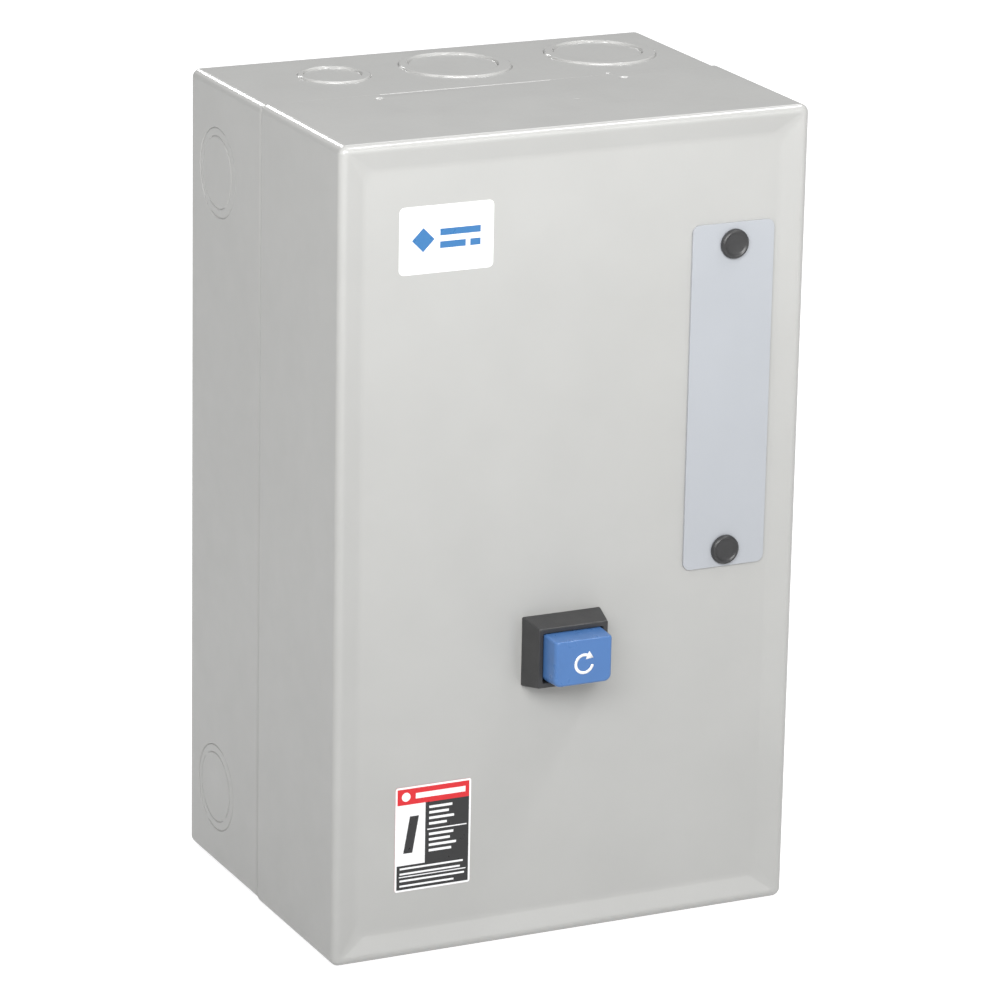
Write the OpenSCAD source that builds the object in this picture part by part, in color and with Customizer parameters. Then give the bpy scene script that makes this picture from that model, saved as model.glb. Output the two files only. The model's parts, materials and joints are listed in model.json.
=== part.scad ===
// Enclosed magnetic motor starter: a sheet-steel case with a lift-off cover, an external reset
// button, a three-pole contactor and a three-pole overload relay.
// Origin: centre of the wall face. X to the right, -Y out of the wall, Z up. Millimetres.
// Places are given as x, depth out of the wall and height above the base of the case.

/* [Case] */
// Outside width of the case
case_w = 193; // [190:1:210]
// Outside height of the case
case_h = 319; // [316:1:340]
// Depth from the wall to the rim of the cover
rim_d = 143.5; // [143:0.5:150]
// Depth of the rear box, up to the seam with the cover
seam_d = 70.5; // [66:0.5:76]
// Thickness of the sheet steel
sheet = 1.5; // [1.2:0.1:1.8]
// Outside radius of the bent edges
bend_r = 3.5; // [2.5:0.5:5]
// How far the face lies behind the rim of the cover
face_drop = 2.4; // [1:0.2:4]
// Distance from the edge of the case to the inner edge of the sloping border
face_bevel = 12; // [10:0.5:12]
// Depth of the lip that the cover slides over
lip_d = 13; // [8:1:16]
// Gap between the cover and the lip
lip_gap = 0.35; // [0.3:0.05:0.6]

/* [Wall fixing] */
// Distance between the fixing holes, across
wall_hole_x = 127; // [110:1:140]
// Distance between the fixing holes, up
wall_hole_z = 267; // [250:1:280]
// Radius of the fixing holes
wall_hole_r = 3.6; // [2.5:0.1:4.5]

/* [Conduit knockouts] */
// Diameter of a half inch trade size hole
ko_half = 22.2; // [21.8:0.1:22.6]
// Diameter of a three quarter inch trade size hole
ko_three_quarter = 28.2; // [27.8:0.1:28.7]
// Diameter of a one inch trade size hole
ko_one = 34.9; // [34.5:0.1:35.3]
// Diameter of a one and a quarter inch trade size hole
ko_one_quarter = 44; // [43.6:0.1:44.8]
// Width of the cut around a knockout
ko_slit = 0.5; // [0.4:0.1:0.8]

/* [Reset button] */
// Across place of the reset button
reset_x = -2; // [-4:0.1:0]
// Height of the reset button above the base
reset_h = 116; // [114:0.2:119]
// Width of the button
button_w = 24.5; // [22:0.5:25]
// Height of the button
button_h = 19; // [17:0.5:19]
// How far the button goes in
reset_travel = 5; // [3:0.5:6]

/* [Contactor] */
// Distance between the poles
pole_pitch = 22; // [21.5:0.1:22]
// Width of the contactor
contactor_w = 72; // [72:1:74]
// Lower edge of the contactor above the base
contactor_low = 152; // [151:0.5:153]
// How far the armature travels
armature_travel = 4; // [2:0.5:4]

/* [Overload relay] */
// Width of the overload relay
relay_w = 74; // [74:1:76]
// Lower edge of the overload relay above the base
relay_low = 60; // [59:0.5:61]
// How far the trip bar slides
trip_travel = 1.5; // [1:0.1:1.6]

/* [Hidden] */
$fn = 48;
// Running clearance of a shaft in its hole, on the radius
run = 0.08;
// Clearance between flat sliding faces
slip = 0.25;
// Overshoot of a cut past the face it opens
over = 1;

face_d = rim_d - face_drop;
lip_in = sheet + lip_gap;
lip_front = seam_d + lip_d;
poles = [-pole_pitch, 0, pole_pitch];

// Mounting pan and the bosses under it
pan_back = 7;
pan_front = 9;
pan_w = 96;
pan_h = [48, 262];
pan_screw_x = 42;
pan_screw_h = [56, 254];
screw_r = 2;

// Contactor, heights and depths
contactor_h = [contactor_low, contactor_low + 96];
mid_h = contactor_low + 48;
base_front = 50;
housing_front = 96;
arc_front = 101;
core_w = 22;
core_h = [mid_h - 30, mid_h + 30];
core_back = 12.5;
core_yoke = 20.5;
pole_face = 35;
armature_face = pole_face + armature_travel + 0.05;
armature_yoke = 52;
armature_back = 60;
bobbin_d = [21, armature_yoke - armature_travel - 0.5];
winding_d = [bobbin_d[0] + 1.5, bobbin_d[1] - 1.5];
beam_d = [61, 92];
beam_h = [mid_h - 6, mid_h + 6];
bar_d = [70, 72];
bar_w = 10;
tip_r = 3.5;
tip_t = 1.2;
tip_off = 15;
bridge_d = bar_d[1] + 2 * tip_t + armature_travel + 0.1;
bridge_t = 2;
window_d = [bridge_d - 1.5, 90];
screw_off = 40;

// Overload relay, heights and depths
relay_h = [relay_low, relay_low + 80];
relay_split = 70;
relay_front = 112;
plunger_front = relay_front + 6;
dial_x = 20;
dial_h = relay_low + 61;
bimetal_d = [40, 52];
bar_low = relay_low + 59;

// Reset operator
sleeve_back = 126;
sleeve_floor = 128;
bezel_front = face_d + 11;
button_back = 140;
button_front = face_d + 20.5;
bezel_w = 32.8;
bezel_h = 27.4;
bezel_draft = 2.2;
sleeve_wall = 1.3;
rod_r = 4.2;

// Face furniture
plate_x = [49.1, 83.6];
plate_h = [140, 275.7];
plate_t = 1;
plug_x = 66.5;
plug_h = [146.8, 267.6];
label_t = 0.25;

// Height above the base, as Z
function up(h) = h - case_h / 2;
// A span of width w around c
function span(c, w) = [c - w / 2, c + w / 2];

module block(x, d, h)
    translate([x[0], -d[1], up(h[0])]) cube([x[1] - x[0], d[1] - d[0], h[1] - h[0]]);

module rod_y(x, h, d, r)
    translate([x, -d[0], up(h)]) rotate([90, 0, 0]) cylinder(h = d[1] - d[0], r = r);

module cone_y(x, h, d, r_back, r_front)
    translate([x, -d[0], up(h)]) rotate([90, 0, 0])
        cylinder(h = d[1] - d[0], r1 = r_back, r2 = r_front);

module rod_z(x, d, h, r)
    translate([x, -d, up(h[0])]) cylinder(h = h[1] - h[0], r = r);

// Extrudes a flat (x, z) outline from one depth to another
module slab(d) translate([0, -d[0], 0]) rotate([90, 0, 0]) linear_extrude(d[1] - d[0]) children();

module rounded_rect(w, h, r) {
    square([w - 2 * r, h], center = true);
    square([w, h - 2 * r], center = true);
    for (sx = [-1, 1], sz = [-1, 1])
        translate([sx * (w / 2 - r), sz * (h / 2 - r)]) circle(r);
}

// A rounded plate between two depths, given by its spans
module rounded_plate(x, d, h, r)
    slab(d) translate([(x[0] + x[1]) / 2, up((h[0] + h[1]) / 2)])
        rounded_rect(x[1] - x[0], h[1] - h[0], r);

// Pan head screw along Y, with a slot across its head
module screw(x, h, head_d, shank_back, r, head_r, head_t) {
    slot_w = 1;
    difference() {
        union() {
            rod_y(x, h, [shank_back, head_d], r);
            rod_y(x, h, [head_d, head_d + head_t], head_r);
        }
        block(span(x, 2 * head_r + over), [head_d + head_t / 2, head_d + head_t + over],
              span(h, slot_w));
    }
}

// Close-wound spring along Y: rings of wire joined by a thin web
module spring(x, h, d, r, wire, turns) {
    web = wire / 3;
    pitch = (d[1] - d[0] - wire) / (turns - 1);
    translate([x, -d[0], up(h)]) rotate([90, 0, 0]) rotate_extrude() {
        translate([r - web / 2, wire / 2]) square([web, d[1] - d[0] - wire]);
        for (i = [0 : turns - 1])
            translate([r, wire / 2 + i * pitch]) circle(wire / 2);
    }
}

// ---- Case ----

// Outline across the depth, rounded at the wall side
module rear_outline(w, d, r) {
    translate([-w / 2, -d[1]]) square([w, d[1] - d[0] - r]);
    translate([r - w / 2, -d[0] - r]) square([w - 2 * r, r]);
    for (s = [-1, 1]) translate([s * (w / 2 - r), -d[0] - r]) circle(r);
}

// Outline across the depth, rounded at the rim
module front_outline(w, rear, rim, r) {
    polygon([[-w / 2, -rear], [-w / 2, r - rim], [r - w / 2, -rim],
             [w / 2 - r, -rim], [w / 2, r - rim], [w / 2, -rear]]);
    for (s = [-1, 1]) translate([s * (w / 2 - r), r - rim]) circle(r);
}

// Fills the shape that has outline 0 from the side, outline 1 from above and is rounded
// along its four long edges
module case_solid(inset, d, r) intersection() {
    slab(d) rounded_rect(case_w - 2 * inset, case_h - 2 * inset, r);
    linear_extrude(case_h, center = true) children(0);
    rotate([0, 90, 0]) linear_extrude(case_w, center = true) children(1);
}

module box_solid(inset, d) {
    r = bend_r - inset;
    case_solid(inset, d, r) {
        rear_outline(case_w - 2 * inset, d, r);
        rear_outline(case_h - 2 * inset, d, r);
    }
}

// Shallow dish pressed into the front, as a cut
module face_dish(inset) {
    rim = rim_d - inset;
    lead = 0.2;
    thin = 0.05;
    rim_w = bend_r + 0.5;
    tilt = atan(face_drop / (face_bevel - rim_w));
    shift = inset * tan(tilt / 2);
    mouth = rim_w - shift - lead / tan(tilt);
    foot = face_bevel - shift;
    hull() {
        block(span(0, case_w - 2 * foot), [rim - face_drop, rim - face_drop + thin],
              span(case_h / 2, case_h - 2 * foot));
        block(span(0, case_w - 2 * mouth), [rim + lead - thin, rim + lead],
              span(case_h / 2, case_h - 2 * mouth));
    }
}

module cover_solid(inset, rear) difference() {
    r = bend_r - inset;
    rim = rim_d - inset;
    case_solid(inset, [rear, rim], r) {
        front_outline(case_w - 2 * inset, rear, rim, r);
        front_outline(case_h - 2 * inset, rear, rim, r);
    }
    face_dish(inset);
}

// Cut of one knockout ring, with tabs that hold it
module knockout_ring(d, turn) {
    tab = 2.6;
    difference() {
        circle(d / 2 + ko_slit / 2);
        circle(d / 2 - ko_slit / 2);
        for (a = [turn, turn + 180]) rotate(a) translate([0, -tab / 2]) square([d, tab]);
    }
}

// Two rings, one inside the other, nearer to the wall by off
module knockout(outer, inner, off) linear_extrude(4 * sheet, center = true) {
    knockout_ring(outer, 20);
    translate([0, off]) knockout_ring(inner, 80);
}

ko_d = 32;
ko_small_x = -50;
ko_large_x = [1, 63.4];
ko_side_d = 28;
ko_side_h = [33.3, 283];
ko_small_off = 1.5;
ko_large_off = 2;
ko_side_off = 0.6;

module knockouts() {
    for (s = [-1, 1]) translate([0, -ko_d, s * (case_h / 2 - sheet / 2)]) {
        translate([ko_small_x, 0, 0]) knockout(ko_three_quarter, ko_half, ko_small_off);
        for (x = ko_large_x) translate([x, 0, 0]) knockout(ko_one_quarter, ko_one, ko_large_off);
    }
    for (s = [-1, 1], h = ko_side_h)
        translate([s * (case_w / 2 - sheet / 2), -ko_side_d, up(h)]) rotate([0, 90, 0])
            knockout(ko_one, ko_three_quarter, ko_side_off);
}

cover_screw_d = 78;
cover_screw_r = 2.4;
screw_head_r = 4.6;
screw_head_t = 2.2;
ground_x = 70;
ground_h = 62;
ground_boss = 4.5;

module enclosure_box() color("silver") difference() {
    joggle = [seam_d - 3.5, seam_d];
    boss_r = 6;
    union() {
        difference() {
            box_solid(0, [0, seam_d]);
            box_solid(sheet, [sheet, seam_d + over]);
        }
        // Lip, stepped in by the sheet of the cover
        difference() {
            slab([joggle[0], lip_front])
                rounded_rect(case_w - 2 * lip_in, case_h - 2 * lip_in, bend_r - sheet);
            slab([joggle[0] - over, lip_front + over])
                rounded_rect(case_w - 2 * (lip_in + sheet), case_h - 2 * (lip_in + sheet), 1);
        }
        difference() {
            slab(joggle) rounded_rect(case_w - sheet, case_h - sheet, bend_r - sheet / 2);
            slab([joggle[0] - over, joggle[1] + over])
                rounded_rect(case_w - 2 * lip_in - sheet, case_h - 2 * lip_in - sheet, 1);
        }
        for (s = [-1, 1], h = pan_screw_h) rod_y(s * pan_screw_x, h, [sheet / 2, pan_back], boss_r);
        rod_y(ground_x, ground_h, [sheet / 2, ground_boss], boss_r);
    }
    for (s = [-1, 1], t = [-1, 1])
        rod_y(s * wall_hole_x / 2, case_h / 2 + t * wall_hole_z / 2, [-over, sheet + over],
              wall_hole_r);
    for (s = [-1, 1], h = pan_screw_h)
        rod_y(s * pan_screw_x, h, [sheet, pan_back + over], screw_r + run);
    rod_y(ground_x, ground_h, [sheet, ground_boss + over], screw_r + run);
    knockouts();
    // Dimpled hole for the cover screw, in the lower lip
    rod_z(0, cover_screw_d, [-over, 2 * lip_in + sheet], cover_screw_r + run);
    translate([0, -cover_screw_d, up(0.1)])
        cylinder(h = screw_head_t + slip, r1 = screw_head_r + 0.3, r2 = cover_screw_r + 0.3);
}

module front_cover() color("gainsboro") difference() {
    rear = seam_d + 0.3;
    slot_top = 3.6;
    slot_bottom = screw_head_r + 0.4;
    window_x = span(plug_x, 24);
    window_h = [164, 256];
    plug_hole_r = 3.4;
    cover_solid(0, rear);
    cover_solid(sheet, rear - over);
    // Opening of the reset operator
    block(span(reset_x, sleeve_w() + 0.6), [rim_d - 10, face_d + over],
          span(reset_h, sleeve_h() + 0.6));
    // Opening for pilot devices and holes for the plugs of the blank plate
    block(window_x, [rim_d - 10, face_d + over], window_h);
    for (h = plug_h) rod_y(plug_x, h, [rim_d - 10, face_d + over], plug_hole_r);
    // Slot with sloping sides, open at the rear, for the head of the cover screw
    translate([0, -rear + over, up(0)]) rotate([90, 0, 0])
        linear_extrude(cover_screw_d - rear + over)
            polygon([[-slot_bottom, -over], [slot_bottom, -over], [slot_bottom, 0.1],
                     [slot_top, sheet + 0.05], [slot_top, sheet + over],
                     [-slot_top, sheet + over], [-slot_top, sheet + 0.05], [-slot_bottom, 0.1]]);
    translate([0, -cover_screw_d, up(0)]) {
        translate([0, 0, -over]) cylinder(h = over + 0.1, r = slot_bottom);
        translate([0, 0, 0.1]) cylinder(h = sheet - 0.05, r1 = slot_bottom, r2 = slot_top);
        cylinder(h = sheet + over, r = slot_top);
    }
}

// Tongue welded inside the top of the cover: it tucks behind the lip of the box
module cover_hook_tab() color("gainsboro") {
    tab_w = 98;
    weld_d = [lip_front + 2, lip_front + 12];
    tongue_top = case_h - lip_in - sheet - 0.5;
    tongue_back = seam_d + 2;
    x = span(0, tab_w);
    block(x, weld_d, [case_h - 2 * sheet, case_h - sheet]);
    block(x, [weld_d[0], weld_d[0] + sheet], [tongue_top - sheet, case_h - sheet]);
    block(x, [tongue_back, weld_d[0] + sheet], [tongue_top - sheet, tongue_top]);
}

module cover_screw() color("silver") difference() {
    union() {
        translate([0, -cover_screw_d, up(0.1)])
            cylinder(h = screw_head_t, r1 = screw_head_r, r2 = cover_screw_r);
        rod_z(0, cover_screw_d, [screw_head_t, 14], cover_screw_r);
    }
    block([-screw_head_r, screw_head_r], span(cover_screw_d, 1.2), [-over, 1.2]);
}

// Nut pressed onto the inside of the lower lip
module cover_nut() color("silver") difference() {
    nut_h = [lip_in + sheet, lip_in + sheet + 4];
    rod_z(0, cover_screw_d, nut_h, 5);
    rod_z(0, cover_screw_d, [nut_h[0] - over, nut_h[1] + over], cover_screw_r + run);
}

// ---- Face of the cover ----

module blank_plate() color("lightsteelblue") difference() {
    rounded_plate(plate_x, [face_d, face_d + plate_t], plate_h, 3);
    for (h = plug_h) rod_y(plug_x, h, [face_d - over, face_d + plate_t + over], 3.4);
}

module plate_plugs() color("black") for (h = plug_h) {
    head_back = face_d + plate_t;
    head_r = 5.8;
    difference() {
        union() {
            cone_y(plug_x, h, [head_back, head_back + 1.6], head_r, head_r - 0.5);
            rod_y(plug_x, h, [head_back + 1.6, head_back + 2.2], head_r - 1);
            rod_y(plug_x, h, [face_d - 6, head_back], 3.2);
            cone_y(plug_x, h, [face_d - 6, face_d - sheet - 0.3], 2.4, 4);
        }
        block(span(plug_x, 0.8), [face_d - 6 - over, face_d - 2], span(h, 8));
    }
}

module name_label() color("white")
    rounded_plate([-71.6, -33.5], [face_d, face_d + label_t], [267.9, 293.5], 2);

module hazard_label() color("firebrick")
    rounded_plate([-70, -38.5], [face_d, face_d + label_t], [25.8, 68], 1);

// ---- Reset operator ----

function sleeve_w() = button_w + 2 * (slip + sleeve_wall);
function sleeve_h() = button_h + 2 * (slip + sleeve_wall);

module reset_bezel() color("dimgray") difference() {
    union() {
        hull() {
            block(span(reset_x, bezel_w), [face_d, face_d + 1], span(reset_h, bezel_h));
            block(span(reset_x, bezel_w - 2 * bezel_draft), [bezel_front - 0.5, bezel_front],
                  span(reset_h, bezel_h - 2 * bezel_draft));
        }
        block(span(reset_x, sleeve_w()), [sleeve_back, face_d], span(reset_h, sleeve_h()));
    }
    block(span(reset_x, button_w + 2 * slip), [sleeve_floor, bezel_front + over],
          span(reset_h, button_h + 2 * slip));
    rod_y(reset_x, reset_h, [sleeve_back - over, sleeve_floor + over], rod_r + run);
}

module reset_retainer() color("dimgray") difference() {
    inner_face = face_d - sheet;
    d = [inner_face - 3.2, inner_face - 0.2];
    block(span(reset_x, sleeve_w() + 10), d, span(reset_h, sleeve_h() + 10));
    block(span(reset_x, sleeve_w() + 0.4), [d[0] - over, d[1] + over],
          span(reset_h, sleeve_h() + 0.4));
}

module reset_button() color("royalblue") difference() {
    shoulder = button_front - 2.7;
    hull() {
        block(span(reset_x, button_w), [button_back, bezel_front], span(reset_h, button_h));
        block(span(reset_x, button_w - 0.6), [shoulder - 0.5, shoulder],
              [reset_h - button_h / 2 + 0.3, reset_h + button_h / 2 - 0.8]);
        block(span(reset_x, button_w - 5), [button_front - 0.5, button_front],
              [reset_h - button_h / 2 + 1, reset_h + button_h / 2 - 1.5]);
    }
    rod_y(reset_x, reset_h, [button_back - over, button_back + 6], rod_r);
}

module reset_pushrod() color("dimgray") difference() {
    clip_d = sleeve_back - 1.7;
    rod_y(reset_x, reset_h, [plunger_front + 0.4, button_back + 6], rod_r);
    difference() {
        rod_y(reset_x, reset_h, [clip_d, clip_d + 1.4], rod_r + over);
        rod_y(reset_x, reset_h, [clip_d - over, clip_d + 2 + over], rod_r - 0.8);
    }
}

// Retaining ring in the groove of the pushrod
module reset_clip() color("silver") difference() {
    clip_d = [sleeve_back - 1.6, sleeve_back - 0.4];
    rod_y(reset_x, reset_h, clip_d, rod_r + 2.6);
    rod_y(reset_x, reset_h, [clip_d[0] - over, clip_d[1] + over], rod_r - 0.8 + run);
    block(span(reset_x, 4.4), [clip_d[0] - over, clip_d[1] + over], [reset_h - 9, reset_h]);
}

module reset_spring() color("silver")
    spring(reset_x, reset_h, [sleeve_floor + 0.1, button_back - 0.1], rod_r + 1.6, 1, 6);

// ---- Inside of the box ----

foot_top = [contactor_h[1], contactor_h[1] + 9];
foot_low = [contactor_h[0] - 9, contactor_h[0]];
foot_front = 12.5;
relay_foot = [relay_h[0] - 9, relay_h[0]];
foot_screws = [[-22, contactor_h[1] + 4.5], [22, contactor_h[1] + 4.5],
               [0, contactor_h[0] - 4.5]];
relay_foot_screws = [[-22, relay_h[0] - 4.5], [22, relay_h[0] - 4.5]];

module mounting_pan() color("lightgray") difference() {
    block(span(0, pan_w), [pan_back, pan_front], pan_h);
    for (s = [-1, 1], h = pan_screw_h)
        rod_y(s * pan_screw_x, h, [pan_back - over, pan_front + over], screw_r + 0.3);
    for (p = concat(foot_screws, relay_foot_screws))
        rod_y(p[0], p[1], [pan_back - over, pan_front + over], screw_r + run);
}

module pan_screws() color("silver") for (s = [-1, 1], h = pan_screw_h)
    screw(s * pan_screw_x, h, pan_front, sheet + 0.5, screw_r, 4, 2.4);

module ground_screw() color("green") difference() {
    head_front = ground_boss + 4.5;
    union() {
        rod_y(ground_x, ground_h, [sheet + 0.3, ground_boss], screw_r);
        rod_y(ground_x, ground_h, [ground_boss, ground_boss + 1.2], 6);
        translate([ground_x, -ground_boss - 1, up(ground_h)]) rotate([90, 0, 0])
            cylinder(h = head_front - ground_boss - 1, r = 5, $fn = 6);
    }
    block(span(ground_x, 12), [head_front - 1.5, head_front + over], span(ground_h, 1));
}

// ---- Contactor ----

module contactor_base() color("#26282b") difference() {
    cavity_x = span(0, core_w + 30);
    cavity_h = [core_h[0] - 2, core_h[1] + 2];
    ledge_x = [contactor_w / 2 - over, contactor_w / 2 + 10];
    union() {
        block(span(0, contactor_w), [pan_front, base_front], contactor_h);
        block(span(0, 60), [pan_front, foot_front], [foot_low[0], foot_top[1]]);
        block(ledge_x, [30, 40], span(mid_h, 34));
    }
    block(cavity_x, [core_back - 0.3, base_front + over], cavity_h);
    for (s = [-1, 1])
        block([20, contactor_w / 2 + over], [39.9, 41.4], span(mid_h + 9 * s, 8.4));
    for (p = foot_screws) rod_y(p[0], p[1], [pan_front - over, foot_front + over], screw_r + 0.3);
    for (s = [-1, 1]) rod_y(coil_screw_x, mid_h + 9 * s, [33, 40 + over], screw_r + run);
}

coil_screw_x = 41;

module contactor_screws() color("silver")
    for (p = foot_screws) screw(p[0], p[1], foot_front, pan_back + 0.3, screw_r, 3.8, 2.2);

// E-shaped stack of laminations, open towards the front
module magnet_core() color("slategray") {
    x = span(0, core_w);
    block(x, [core_back, core_yoke], core_h);
    block(x, [core_back, pole_face], [core_h[0], core_h[0] + 9]);
    block(x, [core_back, pole_face], [core_h[1] - 9, core_h[1]]);
    block(x, [core_back, pole_face], span(mid_h, 16));
}

// Copper rings let into the two outer pole faces
module shading_rings() color("peru") for (s = [-1, 1]) {
    x_out = span(0, core_w + 3);
    x_in = span(0, core_w + 0.2);
    h_out = span(mid_h + s * 25.5, 11.4);
    h_in = span(mid_h + s * 25.5, 9.2);
    difference() {
        block(x_out, [pole_face - 4, pole_face - 2], h_out);
        block(x_in, [pole_face - 5, pole_face - 1], h_in);
    }
}

module coil_bobbin() color("ivory") difference() {
    flange_t = winding_d[0] - bobbin_d[0];
    union() {
        for (d = [bobbin_d[0], winding_d[1]])
            block(span(0, core_w + 26), [d, d + flange_t], span(mid_h, 39));
        block(span(0, core_w + 4), bobbin_d, span(mid_h, 20));
    }
    block(span(0, core_w + 1), [bobbin_d[0] - over, bobbin_d[1] + over], span(mid_h, 17));
}

module coil_winding() color("darkorange") difference() {
    slab(winding_d) translate([0, up(mid_h)]) rounded_rect(core_w + 22, 37, 5);
    block(span(0, core_w + 4), [winding_d[0] - over, winding_d[1] + over], span(mid_h, 20));
}

module coil_terminals() color("goldenrod") for (s = [-1, 1]) {
    h = mid_h + 9 * s;
    difference() {
        block([core_w / 2 + 13.5, contactor_w / 2 + 9], [40, 41.2], span(h, 8));
        rod_y(coil_screw_x, h, [38, 43], screw_r + 0.1);
    }
    screw(coil_screw_x, h, 42.2, 34, screw_r, 3.6, 2);
}

// E-shaped stack that is pulled towards the core
module armature() color("slategray") {
    x = span(0, core_w);
    block(x, [armature_yoke, armature_back], core_h);
    block(x, [armature_face, armature_yoke], [core_h[0], core_h[0] + 9]);
    block(x, [armature_face, armature_yoke], [core_h[1] - 9, core_h[1]]);
    block(x, [armature_face, armature_yoke], span(mid_h, 16));
}

// Moving carrier: foot on the armature, beam through the three chambers, nose in the cover
module crossbar() color("#5b2f1e") difference() {
    union() {
        block(span(0, 50), [armature_back, beam_d[0] + 3], beam_h);
        block(span(0, 2 * pole_pitch + 18), beam_d, beam_h);
        block(span(0, 10), [beam_d[1], arc_front - 0.5], span(mid_h, 8));
    }
    for (p = poles) block(span(p, 10), window_d, [beam_h[0] - over, beam_h[1] + over]);
}

module contact_bridges() color("peru") for (p = poles) {
    block(span(p, 8), [bridge_d, bridge_d + bridge_t], span(mid_h, 2 * tip_off + 7));
    for (s = [-1, 1]) rod_y(p, mid_h + s * tip_off, [bridge_d - tip_t, bridge_d], tip_r);
}

module contact_springs() color("silver") for (p = poles)
    spring(p, mid_h, [bridge_d + bridge_t, window_d[1]], 3, 0.8, 6);

spring_x = 18.5;

module return_springs() color("silver") for (s = [-1, 1])
    spring(s * spring_x, mid_h, [bobbin_d[1], armature_back], 3.4, 0.9, 6);

module contactor_housing() color("#2b2d31") difference() {
    pocket_t = 17;
    chamber_d = [65, housing_front + over];
    slot_h = 3;
    block(span(0, contactor_w), [base_front, housing_front], contactor_h);
    block(span(0, core_w + 32), [base_front - over, chamber_d[0] + 0.1],
          [core_h[0] - 2, core_h[1] + 2]);
    for (p = poles) {
        block(span(p, 18), chamber_d, span(mid_h, 56));
        for (s = [-1, 1]) {
            block(span(p, 16), [bar_d[0], housing_front + over],
                  span(mid_h + s * (48 - pocket_t / 2 + over), pocket_t + 2 * over));
            block(span(p, bar_w + 0.4), [bar_d[0], bar_d[1] + 0.4],
                  span(mid_h + s * (28 + slot_h / 2), slot_h + 2 * over));
            rod_y(p, mid_h + s * screw_off, [62, bar_d[0] + over], screw_r + run);
        }
    }
    // Way of the crossbar through the walls between the chambers
    block(span(0, 2 * pole_pitch + 18.6), [base_front, housing_front + over], span(mid_h, 13));
    for (p = arc_places) rod_y(p[0], p[1], [84, housing_front + over], arc_screw_r + run);
}

arc_screw_r = 1.2;
arc_places = [[-pole_pitch / 2, mid_h - 24], [pole_pitch / 2, mid_h - 24],
               [-pole_pitch / 2, mid_h + 24], [pole_pitch / 2, mid_h + 24]];

// Front plate over the arc chambers, with a window for the nose of the crossbar
module arc_cover() color("#2b2d31") difference() {
    vent_h = 12;
    block(span(0, contactor_w), [housing_front, arc_front], span(mid_h, 62));
    block(span(0, 11), [housing_front - over, arc_front + over], span(mid_h, 9));
    for (p = arc_places)
        rod_y(p[0], p[1], [housing_front - over, arc_front + over], arc_screw_r + 0.2);
    for (p = poles, s = [-1, 1], i = [-1, 0, 1])
        block(span(p + 4.4 * i, 1.8), [housing_front - over, arc_front + over],
              span(mid_h + s * 16, vent_h));
}

module arc_screws() color("silver")
    for (p = arc_places) screw(p[0], p[1], arc_front, 85, arc_screw_r, 2.4, 1.5);

// Fixed contact bars of one side: +1 is the line side, -1 the load side
module fixed_contacts(s) for (p = poles) difference() {
    inner = mid_h + s * 11;
    outer = mid_h + s * 47;
    union() {
        block(span(p, bar_w), bar_d, [min(inner, outer), max(inner, outer)]);
        rod_y(p, mid_h + s * tip_off, [bar_d[1], bar_d[1] + tip_t], tip_r);
    }
    rod_y(p, mid_h + s * screw_off, [bar_d[0] - over, bar_d[1] + over], screw_r + 0.1);
}

module line_contacts() color("peru") fixed_contacts(1);
module load_contacts() color("peru") fixed_contacts(-1);

// Terminal screws with square pressure plates
module terminal_screws(s, plate_back) for (p = poles) {
    h = mid_h + s * screw_off;
    screw(p, h, plate_back + 1.5, 63, screw_r, 3.8, 2.8);
    block(span(p, 10), [plate_back, plate_back + 1.5], span(h, 9.5));
}

module line_screws() color("silver") terminal_screws(1, bar_d[1] + 1.2);
module load_screws() color("silver") terminal_screws(-1, link_d[1]);

aux_x = [-contactor_w / 2 - 16, -contactor_w / 2 - 0.2];
aux_mid_x = (aux_x[0] + aux_x[1]) / 2;
aux_h = [mid_h - 28, mid_h + 28];
aux_front = 82;
aux_plate_d = aux_front - 4;
aux_screw_r = 1.7;
aux_screw_h = [mid_h - 22, mid_h - 9, mid_h + 9, mid_h + 22];

module aux_block() color("#1f2023") difference() {
    block(aux_x, [24, aux_front], aux_h);
    for (h = aux_screw_h) {
        block(span(aux_mid_x, 10), [aux_plate_d, aux_front + over], span(h, 9));
        rod_y(aux_mid_x, h, [aux_front - 12, aux_plate_d + over], aux_screw_r + run);
    }
    // The outer recesses are open at the ends, for the wires
    for (s = [-1, 1]) block(span(aux_mid_x, 5), [aux_plate_d, aux_front + over],
                            span(mid_h + 27 * s, 5));
}

module aux_screws() color("silver") for (h = aux_screw_h)
    screw(aux_mid_x, h, aux_plate_d + lug_t + 0.1, aux_front - 11, aux_screw_r, 3.2, 1.8);

// ---- Overload relay ----

link_d = [bar_d[1] + 0.1, bar_d[1] + 2];
bimetal_t = 1.2;
rib_x = 26;
trip_x = 42;
trip_h = [relay_low + 40, relay_low + 58];
trip_d = 66;
ledge_d = [56, 66];

module relay_base() color("#26282b") difference() {
    wall = 4;
    union() {
        difference() {
            block(span(0, relay_w), [pan_front, relay_split], relay_h);
            block(span(0, relay_w - 2 * wall), [pan_front + wall, relay_split + over],
                  [relay_h[0] + wall, relay_h[1] - wall]);
        }
        block(span(0, 56), [pan_front, foot_front], [relay_foot[0], relay_foot[1] + over]);
        for (s = [-1, 1]) block(span(s * rib_x, 4), [pan_front + over, 56],
                                [relay_low + 34, bar_low - 0.3]);
        block([relay_w / 2 - over, relay_w / 2 + 10], ledge_d,
              [trip_h[0] - 8, trip_h[1] + 8]);
        // Shelf behind the spring of the reset plunger
        block(span(reset_x, 16), [relay_split - 4, relay_split],
              [reset_h - 8, relay_h[1] - wall + over]);
    }
    for (h = trip_h) {
        block([relay_w / 2 - wall - over, relay_w / 2 + over], [trip_d - 0.1, trip_d + 1.4],
              span(h, 8.4));
        rod_y(trip_x, h, [trip_d - 6, trip_d + over], screw_r + run);
    }
    for (p = relay_foot_screws)
        rod_y(p[0], p[1], [pan_front - over, foot_front + over], screw_r + 0.3);
}

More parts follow.
